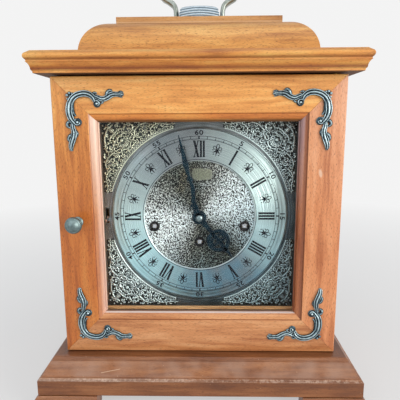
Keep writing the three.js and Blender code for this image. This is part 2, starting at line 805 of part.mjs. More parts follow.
function addMinuteHand() {
  const tip = minuteLength;
  const stem = [[0, 4, 3], [-1.6, 12, 2.4], [-0.4, 22, 1.9], [1.2, 31, 1.8], [0, 38, 1.5], [0, 43, 1.2]];
  const spear = [[0, 41, 1.2], [0, 48, 2.2], [0, 54, 2.6], [0, 62, 1.9], [0, 72, 1.1], [0, tip, 0.3]];
  const shapes = [ribbon(stem, 16), ribbon(spear, 12), disc(3.4, -2.6, 11), disc(2.9, 0, 38.5)];
  const hand = handGeometry(shapes, minuteArborRadius + seatGap, 6, minuteHandFront, minuteHandBack);
  place('minute_hand', atDial(hand, minuteAngle), blueSteel);
  const face = [
    [0, nutBack], [nutRadius, nutBack], [nutRadius, nutBack - 1], [nutRadius * 0.8, nutBack - 2],
    [nutRadius * 0.4, nutFront + 0.2], [0, nutFront],
  ];
  const blind = rodY(minuteArborRadius + seatGap, nutBack - 1.6, nutBack + 1, 0, 0, 12);
  place('hand_nut', cut(turnedY(face, 20), blind).translate(0, 0, dialZ), brightSteel);
}

function addHourHand() {
  const tip = hourLength;
  const stem = [[0, 5, 3.2], [0, 12, 2.2], [0, 18, 1.8], [0, 23, 1.8]];
  const crook = [[0, 20, 1.6], [6, 22, 1.9], [9.2, 28, 2], [8, 34.5, 1.8], [3.6, 38.6, 1.6], [0, 42, 1.6]];
  const spear = [[0, 38, 2], [0, 42, 2.3], [0, 46.5, 1.3], [0, tip, 0.3]];
  const other = crook.map(([x, z, w]) => [-x, z, w]);
  const curls = [disc(2.5, 5, 28.5), disc(2.5, -5, 28.5)];
  const shapes = [ribbon(stem, 8), ribbon(crook, 12), ribbon(other, 12), ribbon(spear, 8), ...curls];
  const bar = ribbon([[0, 21, 1.5], [0, 30, 2.3], [0, 40, 1.5]], 6);
  const bore = hourPipeOuter + seatGap;
  const hand = handGeometry([...shapes, bar], bore, 7, hourHandFront, hourHandBack);
  place('hour_hand', atDial(hand, hourAngle), blueSteel);
}

// A toothed wheel between two Y planes; the tooth at angle 0 points along +X before it is turned.
function gear(teeth, module, phase, yFront, yBack) {
  const root = (module * teeth) / 2 - 1.25 * module;
  const tip = (module * teeth) / 2 + 0.85 * module;
  const step = (2 * Math.PI) / teeth;
  const points = [];
  for (let i = 0; i < teeth; i += 1) {
    const a = phase + i * step;
    for (const [r, share] of [[root, -0.27], [tip, -0.09], [tip, 0.09], [root, 0.27]]) {
      points.push(new THREE.Vector2(r * Math.cos(a + share * step), r * Math.sin(a + share * step)));
    }
  }
  return panel(new THREE.Shape(points), yFront, yBack);
}

const motionAngle = THREE.MathUtils.degToRad(60); // from the hand arbor to the minute wheel
const minuteWheelX = gearCentres * Math.cos(motionAngle);
const minuteWheelZ = dialZ + gearCentres * Math.sin(motionAngle);
const wheelPlane = frontPlateFront - 2 * seatGap - gearThick; // front of the minute wheel
const pinionPlane = wheelPlane - 1 - gearThick;
const studRadius = 1.2;

// Half a tooth of turn, so that a gap meets the other wheel's tooth along the line of centres.
const meshPhase = (teeth, towards) => towards + Math.PI / teeth;

function addMotionWork() {
  const first = (2 * gearCentres) / (cannonTeeth + minuteWheelTeeth);
  const second = (2 * gearCentres) / (minutePinionTeeth + hourWheelTeeth);
  const cannon = gear(cannonTeeth, first, motionAngle, wheelPlane - 0.4, wheelPlane + gearThick);
  const arbor = rodY(minuteArborRadius, nutBack - 1.2, frontPlateBack + 1, 0, 0, 12);
  place('cannon_pinion', join(cannon, arbor).translate(0, 0, dialZ), brightSteel);

  const back = motionAngle + Math.PI;
  const wheelPhase = meshPhase(minuteWheelTeeth, back);
  const wheel = gear(minuteWheelTeeth, first, wheelPhase, wheelPlane, wheelPlane + gearThick);
  const pinion = gear(minutePinionTeeth, second, back, pinionPlane - 0.4, wheelPlane + 0.2);
  const bore = rodY(studRadius + pinGap, pinionPlane - 2, wheelPlane + gearThick + 1, 0, 0, 12);
  const pair = cut(join(wheel, pinion), bore);
  place('minute_wheel', pair.translate(minuteWheelX, 0, minuteWheelZ), plateBrass);

  const hourPhase = meshPhase(hourWheelTeeth, motionAngle);
  const hour = gear(hourWheelTeeth, second, hourPhase, pinionPlane, pinionPlane + gearThick);
  const pipe = rodY(hourPipeOuter, hourHandFront + 0.2, pinionPlane + gearThick, 0, 0, 16);
  const through = rodY(hourPipeInner, hourHandFront - 1, pinionPlane + gearThick + 1, 0, 0, 16);
  place('hour_wheel', cut(join(hour, pipe), through).translate(0, 0, dialZ), plateBrass);
}

// ---- movement ----

function plateShape(arborBore) {
  const half = plateWidth / 2;
  const shape = rectangle(-half, half, plateBottom, plateTop);
  for (const [x, z] of Object.values(arborPlaces)) shape.holes.push(disc(arborBore, x, z));
  return shape;
}

function addPlates() {
  const bore = arborRadius + pinGap;
  const front = plateShape(bore);
  front.holes.push(disc(minuteArborRadius + pinGap, 0, dialZ));
  const stud = rodY(studRadius, pinionPlane - 1, frontPlateFront + 1, minuteWheelX, minuteWheelZ, 10);
  place('front_plate', join(panel(front, frontPlateFront, frontPlateBack, 5), stud), plateBrass);

  const back = panel(plateShape(bore), backPlateFront, backPlateBack, 5);
  const middle = (plateTop + plateBottom) / 2;
  const riseZ = (plateTop - plateBottom) / 2 - 8;
  const riseX = plateWidth / 2 - 8;
  const pillars = corners.map(([sx, sz]) =>
    rodY(pillarRadius, frontPlateBack + seatGap, backPlateFront + 1, sx * riseX, middle + sz * riseZ, 10));
  const cock = rodY(0.9, backPlateBack - 1, backPlateBack + 6, balanceX, balanceZ, 10);
  place('back_plate', join(back, ...pillars, cock), plateBrass);
}

const balanceX = 26;
const balanceZ = plateTop - 14;

function addBalance() {
  const rim = disc(balanceRadius);
  const inner = disc(balanceRadius - 1.4);
  rim.holes.push(inner);
  const y0 = backPlateBack + 2.5;
  const y1 = y0 + 1.2;
  const spoke = block([-balanceRadius + 0.7, balanceRadius - 0.7], [y0, y1], [-0.7, 0.7]);
  const hub = rodY(2, y0 - 1.5, y1 + 0.8, 0, 0, 12);
  const wheel = join(panel(rim, y0, y1, 10), spoke, hub);
  const bore = rodY(0.9 + pinGap, y0 - 3, y1 + 3, 0, 0, 12);
  place('balance_wheel', cut(wheel, bore).translate(balanceX, 0, balanceZ), plateBrass);
}

function addBarrels() {
  const start = frontPlateBack + 4;
  const end = start + barrelLength;
  const bore = arborRadius + pinGap;
  const lip = 1;
  const profile = [
    [bore, start], [barrelRadius - lip, start], [barrelRadius - lip, start + 2], [barrelRadius, start + 2],
    [barrelRadius, end - 2], [barrelRadius - lip, end - 2], [barrelRadius - lip, end], [bore, end],
    [bore, start],
  ];
  const tip = ringFace + arborSink;
  for (const [train, [x, z]] of Object.entries(arborPlaces)) {
    place(`${train}_barrel`, turnedY(profile, 24, x, z), plateBrass);
    const shaft = rodY(arborRadius, dialBack + 1, backPlateBack + 2, 0, 0, 12);
    const half = squareSide / 2;
    const square = block([-half, half], [tip, dialBack + 2], [-half, half]);
    place(`${train}_winding_arbor`, join(shaft, square).translate(x, 0, z), brightSteel);
  }
}

function addSeat() {
  const half = halfWidth - boardThick - seatGap;
  const front = caseFront + frontFrameThick + seatGap;
  const board = block([-half, half], [front, backPlateBack + 6], [seatTop - seatThick, seatTop]);
  place('seat_board', board, plainWood);
}

// ---- chime ----

const rodStartX = -halfWidth + boardThick + chimeFootInset + chimeFootLength;
const rodRow = Array.from({ length: rodCount }, (_, i) => (i - (rodCount - 1) / 2) * rodPitch);
const hammerPivotX = rodStartX + hammerPivotReach;
const hammerPivotZ = seatTop - seatThick - hammerPivotDrop;

function addChime() {
  const halfRow = (rodCount * rodPitch) / 2 + 3;
  const footX = [rodStartX - chimeFootLength, rodStartX];
  const foot = block(footX, [-halfRow, halfRow], [baseTop + seatGap, rodHeight + 8]);
  const rods = rodRow.map((y) =>
    closed(new THREE.CylinderGeometry(rodRadius, rodRadius, rodLength + 2, 8)).rotateZ(Math.PI / 2)
      .translate(rodStartX - 2 + (rodLength + 2) / 2, y, rodHeight));
  place('chime_block', join(foot, ...rods), blackIron);
}

function hammerGeometry(y) {
  const headX = hammerPivotX - hammerReach;
  const low = rodHeight + rodRadius + hammerLift;
  const half = hammerArmThick / 2;
  const wide = [y - half, y + half];
  const arm = block([headX, hammerPivotX], wide, [hammerPivotZ - half, hammerPivotZ + half]);
  const stem = block([headX - half, headX + half], wide, [low, hammerPivotZ + half]);
  return join(arm, stem, rodZ(headRadius, low, low + 2 * headRadius, headX, y, 10));
}

function addHammers() {
  const halfRow = rodRow[rodCount - 1] + headRadius;
  const along = (radius, half) => rodY(radius, -half, half, hammerPivotX, hammerPivotZ, 12);
  const bank = join(along(spindleRadius, halfRow), ...rodRow.map(hammerGeometry));
  place('hammers', cut(bank, along(hammerPinRadius + pinGap, halfRow + 1)), plateBrass);

  const wide = [hammerPivotX - bracketHalf, hammerPivotX + bracketHalf];
  const top = seatTop - seatThick - seatGap;
  const lugs = [-1, 1].map((s) => {
    const y = s * (halfRow + 2);
    return block(wide, [y - 1.2, y + 1.2], [hammerPivotZ - bracketHalf, top]);
  });
  const bridge = block(wide, [-halfRow - 3.2, halfRow + 3.2], [top - 2, top]);
  place('hammer_bracket', join(along(hammerPinRadius, halfRow + 3), ...lugs, bridge), blackIron);
}

// ---- back door ----

function addRearDoor() {
  const half = rearOpeningWidth / 2 - seatGap;
  const z0 = rearOpeningBottom + seatGap;
  const z1 = rearOpeningTop - seatGap;
  const slots = Array.from({ length: soundSlotCount }, (_, i) => {
    const x = (i - (soundSlotCount - 1) / 2) * soundSlotPitch;
    const wide = [x - soundSlotWidth / 2, x + soundSlotWidth / 2];
    return block(wide, [backFrameFront - 1, halfDepth + 1], [z0 + soundSlotInset, z1 - soundSlotInset]);
  });
  const leaf = cut(block([-half, rearPinX], [backFrameFront, halfDepth], [z0, z1]), ...slots);
  const edge = rodZ(backFrameThick / 2, z0, z1, rearPinX, rearPinY, 24);
  const pins = rodZ(pivotRadius, z0 - pivotDepth + 1, z1 + pivotDepth - 1, rearPinX, rearPinY, 12);
  place('rear_door', join(leaf, edge, pins), caseWood);
  const catchX = -rearOpeningWidth / 2 - 8;
  const catchZ = (rearOpeningBottom + rearOpeningTop) / 2;
  const y0 = halfDepth + seatGap;
  const bar = block([catchX - 4, catchX + 4], [y0, y0 + 2.5], [catchZ - 6, catchZ + 20]);
  const boss = rodY(3, y0 + 1, y0 + 4.5, catchX, catchZ, 14);
  place('rear_catch', join(bar, boss), plateBrass);
}

addBase();
addFeet();
addSides();
addFrontFrame();
addBackFrame();
addCornice();
addTop();
addHandle();
addDoorFrame();
addDoorPivots();
addGlass();
addKnob();
addOrnaments();
addDialPlate();
addChapterRing();
addSpandrels();
addGrommets();
addSilentLever();
addMinuteHand();
addHourHand();
addMotionWork();
addPlates();
addBalance();
addBarrels();
addSeat();
addChime();
addHammers();
addRearDoor();

export default clock;
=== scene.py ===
import math
import random

import bmesh
import bpy
import numpy
from mathutils import Matrix, Vector


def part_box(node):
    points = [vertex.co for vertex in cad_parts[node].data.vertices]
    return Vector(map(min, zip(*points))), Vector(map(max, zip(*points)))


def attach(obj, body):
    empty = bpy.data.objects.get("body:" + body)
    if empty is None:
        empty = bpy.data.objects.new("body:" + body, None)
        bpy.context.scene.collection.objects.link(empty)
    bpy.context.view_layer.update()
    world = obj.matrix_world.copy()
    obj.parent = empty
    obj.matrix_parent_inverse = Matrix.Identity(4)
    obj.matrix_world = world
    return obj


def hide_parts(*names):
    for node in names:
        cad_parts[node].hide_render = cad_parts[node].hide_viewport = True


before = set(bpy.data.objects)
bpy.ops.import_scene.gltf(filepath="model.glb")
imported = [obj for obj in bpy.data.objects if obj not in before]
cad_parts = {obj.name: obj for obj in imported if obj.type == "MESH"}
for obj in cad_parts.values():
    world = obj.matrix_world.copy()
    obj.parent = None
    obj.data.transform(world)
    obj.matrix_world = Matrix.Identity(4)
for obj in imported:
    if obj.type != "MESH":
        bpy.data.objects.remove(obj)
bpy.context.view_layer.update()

scene = bpy.context.scene
scene.view_settings.view_transform = "Standard"
mm = 0.001
print("frame loaded:", len(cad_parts), "nodes")

# Sizes and planes that the pieces share, in millimetres.
halfWidth, halfDepth = 130.0, 76.5
doorMid, doorHalf, doorFront = 178.1, 130.0, -76.5
dialMid, dialHalf = 177.5, 95.5
pivotX, pivotY, pivotRound = 122.0, -64.5, 8.0
white = (255, 255, 255)


class Wire:
    # a socket that takes part in sums
    def __init__(self, finish, socket):
        self.finish, self.socket = finish, socket

    def maths(self, operation, *others):
        return self.finish.maths(operation, self, *others)

    def __add__(self, other):
        return self.maths("ADD", other)

    def __sub__(self, other):
        return self.maths("SUBTRACT", other)

    def __rsub__(self, other):
        return self.finish.maths("SUBTRACT", other, self)

    def __mul__(self, other):
        return self.maths("MULTIPLY", other)

    def __truediv__(self, other):
        return self.maths("DIVIDE", other)

    def __gt__(self, other):
        return self.maths("GREATER_THAN", other)

    def __lt__(self, other):
        return self.maths("LESS_THAN", other)

    def __abs__(self):
        return self.maths("ABSOLUTE")

    __radd__, __rmul__ = __add__, __mul__


def light(colour):
    # a colour as it looks on a screen, 0 to 255, made linear; a socket passes as it is
    if isinstance(colour, Wire):
        return colour
    shares = [value / 255 for value in colour]
    return [s / 12.92 if s <= 0.04045 else ((s + 0.055) / 1.055) ** 2.4 for s in shares] + [1.0]


class Finish:
    # the nodes of one material, or of the world
    def __init__(self, holder):
        self.holder = holder
        holder.use_nodes = True
        self.tree = holder.node_tree
        self.tree.nodes.clear()

    def node(self, kind, settings=None, values=None, out=0):
        made = self.tree.nodes.new("ShaderNode" + kind)
        for key, value in (settings or {}).items():
            setattr(made, key, value)
        for key, value in (values or {}).items():
            if isinstance(value, Wire):
                self.tree.links.new(value.socket, made.inputs[key])
            else:
                made.inputs[key].default_value = value
        return Wire(self, made.outputs[out])

    def maths(self, operation, *values):
        return self.node("Math", {"operation": operation}, dict(enumerate(values)))

    def vector(self, operation, values):
        return self.node("VectorMath", {"operation": operation}, values)

    def axes(self, vector):
        return [self.node("SeparateXYZ", None, {0: vector}, i) for i in range(3)]

    def joined(self, x, y, z):
        return self.node("CombineXYZ", None, {0: x, 1: y, 2: z})

    def place(self, centre=(0, 0, 0)):
        # object coordinates in millimetres about a centre
        raw = self.node("TexCoord", None, None, 3)
        return self.node("Mapping", {"vector_type": "POINT"},
                         {0: raw, 1: [-c for c in centre], 3: (1 / mm,) * 3})

    def noise(self, vector, scale, detail=2.0, rough=0.5, twist=0.0):
        return self.node("TexNoise", None, {
            "Vector": vector, "Scale": scale, "Detail": detail, "Roughness": rough, "Distortion": twist})

    def ripple(self, value, scale):
        # noise along one number
        return self.node("TexNoise", {"noise_dimensions": "1D"}, {"W": value, "Scale": scale, "Detail": 3.0})

    def spread(self, value, low, high, start=0.0, end=1.0):
        return self.node("MapRange", None, {0: value, 1: low, 2: high, 3: start, 4: end})

    def ramp(self, value, stops):
        # a run of colours, each stop given as its place and its colour
        shade = self.node("ValToRGB", None, {0: value})
        elements = shade.socket.node.color_ramp.elements
        while len(elements) < len(stops):
            elements.new(0.5)
        for element, (place, colour) in zip(elements, stops):
            element.position = place
            element.color = light(colour)
        return shade

    def mix(self, share, first, second, how="MIX"):
        return self.node("Mix", {"data_type": "RGBA", "blend_type": how, "clamp_factor": True},
                         {0: share, 6: light(first), 7: light(second)}, 2)

    def stain(self, share, colour, tint):
        return self.mix(share, colour, tint, "MULTIPLY")

    def seen(self):
        # 1 for the rays that show the backdrop: camera, glossy and transmission
        camera, glossy, through = [self.node("LightPath", None, None, i) for i in (0, 3, 6)]
        return camera.maths("MAXIMUM", glossy).maths("MAXIMUM", through)

    def bump(self, height, strength, distance):
        return self.node("Bump", None, {"Strength": strength, "Distance": distance * mm, "Height": height})

    def surface(self, **inputs):
        names = {"colour": "Base Color", "rough": "Roughness", "metal": "Metallic", "coat": "Coat Weight",
                 "coatRough": "Coat Roughness", "normal": "Normal", "ior": "IOR",
                 "clear": "Transmission Weight", "shine": "Specular IOR Level"}
        return self.node("BsdfPrincipled", None, {names[k]: v for k, v in inputs.items()})

    def done(self, shader, kind="Material"):
        output = self.tree.nodes.new("ShaderNodeOutput" + kind)
        self.tree.links.new(shader.socket, output.inputs[0])
        return self.holder


def newFinish(name):
    return Finish(bpy.data.materials.new(name))


def woodFinish(name, tones, grain, shift, pores, gloss=0.34, worn=None, coat=0.35):
    made = newFinish(name)
    x, y, z = place = made.axes(made.place())
    if grain == "ring":       # mitred mouldings: the grain follows each side
        side = (abs(x) - halfWidth) > (abs(y) - halfDepth)
        lines = x + (y - x) * side, y + (x - y) * side, z + side * 61
    else:
        lines = {"X": (x, z, y), "Z": (z, x, y)}[grain]
    along, across, up = [line + offset for line, offset in zip(lines, shift)]

    def streaks(length, width, *looks):
        # noise drawn out along the grain
        return made.noise(made.joined(along * length, across * width, up * width), 1.0, *looks)

    across = across + streaks(0.02, 0.05, 1.0) * 7
    figure = streaks(0.011, 0.075, 3.0, 0.55, 0.4)
    band = streaks(0.02, 0.33, 2.0, 0.5, 0.2)
    fibre = streaks(0.16, 1.7, 3.0, 0.6)
    pore = streaks(0.34, 2.7, 1.0, 0.4)
    field = figure * 0.55 + band * 0.3 + fibre * 0.15
    colour = made.ramp(field, list(zip((0.36, 0.5, 0.64), tones)))
    colour = made.stain(made.spread(fibre, 0.3, 0.72) * 0.5, colour, (214, 170, 128))
    dark = made.spread(pore, 0.61, 0.68)
    colour = made.stain(dark * pores, colour, (128, 78, 50))
    rough = gloss + fibre * 0.14 + dark * 0.15
    height = fibre * 0.25 - dark * 0.6
    # the hook adds wear, and painted light and shade, where a piece has them
    if worn:
        colour, rough, height = worn(made, place, colour, rough, height)
    return made.done(made.surface(colour=colour, rough=rough, coat=coat, coatRough=0.22,
                                  normal=made.bump(height, 0.35, 0.12)))


woodTones = {
    "case": [(206, 134, 62), (246, 176, 94), (255, 204, 124)],
    "side": [(170, 100, 46), (210, 140, 72), (232, 170, 100)],
    "hood": [(174, 114, 50), (216, 156, 78), (234, 184, 106)],
    "cap": [(166, 112, 56), (204, 152, 92), (224, 178, 120)],
    "cornice": [(190, 114, 50), (242, 166, 86), (255, 200, 120)],
    "bottomRail": [(176, 108, 60), (218, 154, 100), (238, 184, 134)],
    "leftStile": [(200, 124, 54), (240, 164, 80), (255, 194, 110)],
    "rightStile": [(184, 112, 66), (226, 158, 112), (242, 184, 144)],
    "base": [(94, 52, 28), (134, 82, 44), (170, 114, 70)],
    "plain": [(150, 110, 70), (186, 146, 98), (210, 172, 124)],
}
cornice = {"bottom": 309.5, "height": 18.5, "spread": 16.0}


def corniceShade(made, place, colour, rough, height):
    # painted light and shade along the mouldings: painted shade in the quirks and the cove, painted highlights
    # on the fillets and the nose
    low, top = cornice["bottom"], cornice["bottom"] + cornice["height"]
    stops = [(0.0, (228, 228, 222)), (0.07, (250, 254, 254)), (0.11, (226, 226, 220)),
             (0.16, (164, 138, 94)), (0.2, (150, 120, 72)), (0.26, (184, 162, 112)),
             (0.34, (226, 218, 184)), (0.44, (252, 254, 250)), (0.5, (248, 250, 246)),
             (0.57, (184, 175, 153)), (0.62, (188, 176, 148)), (0.7, (236, 238, 218)),
             (0.8, (246, 254, 250)), (0.92, (214, 215, 186)), (1.0, (230, 232, 220))]
    colour = made.stain(1.0, colour, made.ramp(made.spread(place[2], low, top), stops))
    # painted shade on the underside, which is also made rougher
    under = made.spread(place[2], low + 0.12, low + 0.04)
    return made.mix(under * 0.85, colour, (52, 26, 10)), rough + under * 0.4, height


railLooks = {
    # stops are painted shade and light across a rail's moulding, from 31 to 40.5 mm inside the door's edge;
    # glow is a painted highlight
    "top": {"stops": [
        (0.0, white), (0.13, white), (0.17, (205, 175, 118)), (0.3, (232, 204, 165)), (0.6, (235, 206, 169)),
        (0.77, (188, 175, 164)), (0.87, (127, 124, 118)), (1.0, (110, 108, 104))]},
    "left": {"stops": [
        (0.0, white), (0.13, white), (0.17, (226, 214, 204)), (0.22, white), (0.52, (238, 232, 226)),
        (0.6, white), (1.0, white)],
        "glow": (248, 220, 204), "low": (222, 192, 164)},
    "right": {"stops": [
        (0.0, white), (0.09, white), (0.15, (200, 185, 172)), (0.24, (160, 138, 122)), (0.38, (170, 150, 134)),
        (0.55, (222, 203, 190)), (0.75, (222, 203, 190)), (0.9, (188, 170, 160)), (1.0, (170, 155, 150))],
        "glow": (196, 180, 190), "low": (250, 238, 218)},
    "bottom": {"stops": [
        (0.0, white), (0.1, white), (0.16, (196, 176, 166)), (0.22, white), (0.6, white),
        (0.7, (226, 206, 190)), (0.76, white), (0.85, white), (0.88, (120, 122, 126)), (1.0, (104, 108, 112))],
        "glow": (236, 232, 232)},
}


def railShade(side):
    # painted shade and light across a rail's moulding, a painted highlight along it, and a darker lower part of
    # the stiles
    looks = railLooks[side]

    def shaded(made, place, colour, rough, height):
        x, y, z = place
        inset = {"top": doorMid + doorHalf - z, "bottom": z - doorMid + doorHalf,
                 "left": x + doorHalf, "right": doorHalf - x}[side]
        upper = made.spread(z, doorMid + 5, doorMid + 95)
        colour = made.stain(1.0, colour, made.ramp(made.spread(inset, 31.0, 40.5), looks["stops"]))
        if "low" in looks:
            colour = made.stain(1 - upper, colour, looks["low"])
        if side == "left":
            lower = made.spread(inset, 35.5, 39.0) * 0.5 * (1 - upper)
            gleam = made.spread(inset, 32.2, 32.8) * (0.12 + upper * 0.7 + lower)
        elif side == "right":
            offX, offZ = (x - 109.5) / 2.0, (z - 222.0 + (x - 109.5) * 0.8) / 4.2
            bruise = made.spread(offX * offX + offZ * offZ, 1.0, 0.3)
            colour = made.mix(bruise * 0.6, colour, (236, 206, 180))
            gleam = made.spread(inset, 34.8, 36.4) * upper * 0.5
        elif side == "bottom":
            gleam = made.spread(abs(inset - 38.6), 0.6, 0.25) * 0.7
        # the painted highlight along the moulding
        if "glow" in looks:
            colour = made.mix(gleam, colour, looks["glow"])
        return colour, rough, height
    return shaded


def hoodShade(made, place, colour, rough, height):
    # darker under the cap's edge
    return made.stain(made.spread(place[2], 350.0, 361.5) * 0.55, colour, (176, 160, 140)), rough, height


def capShade(made, place, colour, rough, height):
    # a painted highlight along the lower arris, with a painted shadow line under it
    z = place[2]
    colour = made.mix(made.spread(abs(z - 363.0), 0.8, 0.3) * 0.45, colour, (232, 200, 160))
    return made.mix(made.spread(z, 362.3, 361.9) * 0.8, colour, (96, 62, 34)), rough, height


def baseWear(made, place, colour, rough, height):
    # rubbed and chipped along the plinth's top edge and the bead, with scuffs between, and a painted shadow
    # under the door
    x, y, z = place
    vector = made.joined(x, y, z)
    chips = made.noise(vector, 0.42, 3.0, 0.65)
    broad = made.noise(vector, 0.045)
    edge = made.spread(abs(z - 30.3), 1.5, 0.3)
    left = made.spread(x, 40.0, -90.0, 0.25, 1.0)
    slope = made.spread(z, 30.5, 33.0) * made.spread(z, 46.5, 44.0)
    rub = edge * (left * 0.4 + made.spread(chips + broad * 0.5, 0.68, 0.9) * 0.6)
    dull = slope * made.spread(broad, 0.35, 0.65) * 0.45
    specks = made.spread(made.noise(vector, 0.75), 0.735, 0.765)
    slant = abs((x + 84) * 0.37 - (z - 36.0) * 1.6 - (y + 92) * 1.1)
    scratch = made.spread(slant, 0.5, 0.2) * made.spread(abs(x + 84), 9.5, 8.5) * (y < -80)
    # painted shadow on the base top at the door's foot
    under = made.spread(z, 45.6, 47.0) * made.spread(y, -88.0, -79.0)
    for share, tone in ((dull, (178, 144, 124)), (rub, (214, 186, 166)), (specks * 0.7, (220, 186, 150)),
                        (scratch * 0.8, (232, 200, 170)), (under * 0.4, (52, 32, 20))):
        colour = made.mix(share, colour, tone)
    return colour, rough + dull * 0.2 + rub * 0.3, height - rub * 0.5 - specks * 0.8


def castFinish(name, tones, ground, top, metal, rough, gain, base, shadeTint=None):
    # old cast metal: dark in the hollows, rubbed bright on the ridges, and painted shade low down by the
    # ground; ground and top are Y planes
    made = newFinish(name)
    place = made.place()
    x, y, z = made.axes(place)
    relief = made.node("Attribute", {"attribute_name": "relief"}, None, 2)
    grime, patch = made.noise(place, 0.5, 4.0, 0.6), made.noise(place, 0.1)
    # darker towards the ground plane: painted shade at the foot of the relief
    level = base + made.spread(y, ground, top) * 0.3 + relief * gain
    level = level + (grime - 0.5) * 0.35 + (patch - 0.5) * 0.4
    colour = made.ramp(level, list(zip((0.08, 0.42, 0.85), tones)))
    if shadeTint:       # painted shade towards the bottom right of the dial, painted light towards the top left
        across = x * 0.6 - (z - dialMid) * 0.6
        colour = made.stain(made.spread(across, 10.0, 90.0), colour, shadeTint)
        colour = made.stain(made.spread(across, -20.0, -80.0), colour, (246, 232, 206))
    return made.done(made.surface(
        colour=colour, rough=made.spread(level, 0.0, 1.0, rough + 0.2, rough - 0.08), metal=metal,
        normal=made.bump(made.noise(place, 1.6, 3.0, 0.6), 0.25, 0.15)))


def metalFinish(name, colour, rough, second, scale, metal=1.0, bump=0.08):
    made = newFinish(name)
    place = made.place()
    cloud, fine = made.noise(place, scale, 3.0, 0.6), made.noise(place, scale * 9, 2.0, 0.6)
    return made.done(made.surface(
        colour=made.mix(made.spread(cloud, 0.35, 0.7), colour, second), metal=metal,
        rough=rough + (cloud - 0.5) * 0.16 + (fine - 0.5) * 0.1, normal=made.bump(fine, bump, 0.05)))


def saddleFinish(name):
    # arched bands across the block between the handle's legs
    made = newFinish(name)
    place = made.place()
    x, y, z = made.axes(place)
    level = (z - 368.6 + x * x * 0.0062) / 2.35 * math.tau
    wave, fine = level.maths("COSINE"), (level * 3).maths("COSINE")
    grime = made.noise(place, 0.5, 4.0, 0.6)
    banded = made.spread(wave + fine * 0.3 + (grime - 0.5) * 1.4, -1.0, 1.2)
    tone = made.mix(banded, (88, 108, 122), (202, 216, 224))
    return made.done(made.surface(colour=tone, rough=0.36 + (grime - 0.5) * 0.2, metal=0.9,
                                  normal=made.bump(wave + fine * 0.25, 0.6, 0.35)))


def brushed(made, x, z, amount):
    # a normal that leans in and out from groove to groove, as metal turned on a lathe
    reach = (x * x + z * z).maths("SQRT")
    groove = made.node("TexWhiteNoise", {"noise_dimensions": "1D"}, {"W": (reach * 6.5).maths("FLOOR")})
    broad = made.ripple(reach, 1.2)
    tilt = (groove - 0.5) * amount + (broad - 0.5) * amount * 0.5
    facing = made.node("NewGeometry", None, None, 1)
    outward = made.vector("NORMALIZE", {0: made.joined(x, 0.0, z)})
    bent = made.vector("ADD", {0: facing, 1: made.vector("SCALE", {0: outward, 3: tilt})})
    return made.vector("NORMALIZE", {0: bent}), reach, broad


def sheen(made, x, z):
    # 0 to 1: a painted sheen, brightest in two opposite sectors where a plate brushed in circles would reflect
    #         the lamps
    angle = x.maths("ARCTAN2", z)
    wave = (angle * 2 - 2 * math.radians(72)).maths("COSINE")
    return made.spread(wave + (made.ripple(angle, 2.2) - 0.5) * 1.6, -0.9, 1.0)


def ringFinish(name):
    # silvered brass, brushed in circles about the hands, with its sheen painted into the colour
    made = newFinish(name)
    place = made.place((0, 0, dialMid))
    x, y, z = made.axes(place)
    normal, reach, broad = brushed(made, x, z, 0.7)
    # shaded and lit tones of the silvering, set by the painted sheen
    shadedTone = made.mix(made.spread(z, -40.0, 50.0), (96, 130, 146), (126, 134, 136))
    litTone = made.mix(made.spread(z, -60.0, 20.0), (176, 222, 230), (186, 208, 206))
    shadedTone = made.mix(made.spread(made.noise(place, 0.035, 3.0, 0.6), 0.4, 0.66), shadedTone, (112, 122, 126))
    # a painted highlight along the inner lip
    lip = made.spread(reach, 55.0, 54.7)
    colour = made.mix(lip * 0.5, made.mix(sheen(made, x, z), shadedTone, litTone), (220, 232, 234))
    return made.done(made.surface(colour=colour, rough=0.3 + (broad - 0.5) * 0.12, metal=0.85, normal=normal))


def dialFinish(name):
    # brass plate: a matted, silvered centre inside the ring, a bare plaque, and plain metal outside; the
    # silvering carries the painted sheen
    made = newFinish(name)
    x, y, z = made.axes(made.place((0, 0, dialMid)))
    normal, reach, broad = brushed(made, x, z, 0.5)
    bright = sheen(made, x, z)
    flat = made.joined(x, 0.0, z)
    worm, dots = made.noise(flat, 0.58, 2.0, 0.6, 0.7), made.noise(flat, 0.95, 1.0)
    pattern = made.spread(worm * 0.5 + dots * 0.5 + (bright - 0.5) * 0.05, 0.5, 0.53)
    plaqueX, plaqueZ = abs(x - 2.7) / 9.4, abs(z - 41.0) / 5.4
    corner = (plaqueX * plaqueX * plaqueX * plaqueX) + (plaqueZ * plaqueZ * plaqueZ * plaqueZ)
    plaque = made.spread(corner + (dots - 0.5) * 2.4, 1.2, 0.9)
    matted = made.spread(reach, 55.0, 54.2) * (1 - plaque)
    cloud = made.spread(made.noise(flat, 0.05), 0.35, 0.65)
    etched = made.mix(pattern, (12, 16, 15),
                      made.mix(bright, made.mix(cloud, (128, 142, 138), (124, 120, 98)), (232, 244, 244)))
    brass = made.mix(made.spread(dots, 0.4, 0.6), (140, 144, 124), (102, 108, 96))
    border = made.mix(cloud, (126, 134, 136), (100, 106, 106))
    colour = made.mix(matted, made.mix(plaque, border, brass), etched)
    # painted shade towards the bottom right
    colour = made.stain(made.spread(x * 0.6 - z * 0.6, -10.0, 60.0), colour, (176, 200, 212))
    return made.done(made.surface(colour=colour, rough=0.34 + matted * (0.3 - pattern * 0.2),
                                  metal=0.85 - matted * 0.2, normal=normal))


def inkFinish(name, colour, second, shine=0.2):
    made = newFinish(name)
    patch = made.noise(made.place(), 0.6)
    shade = made.mix(made.spread(patch, 0.4, 0.7), colour, second)
    return made.done(made.surface(colour=shade, rough=0.55 + patch * 0.2, shine=shine))


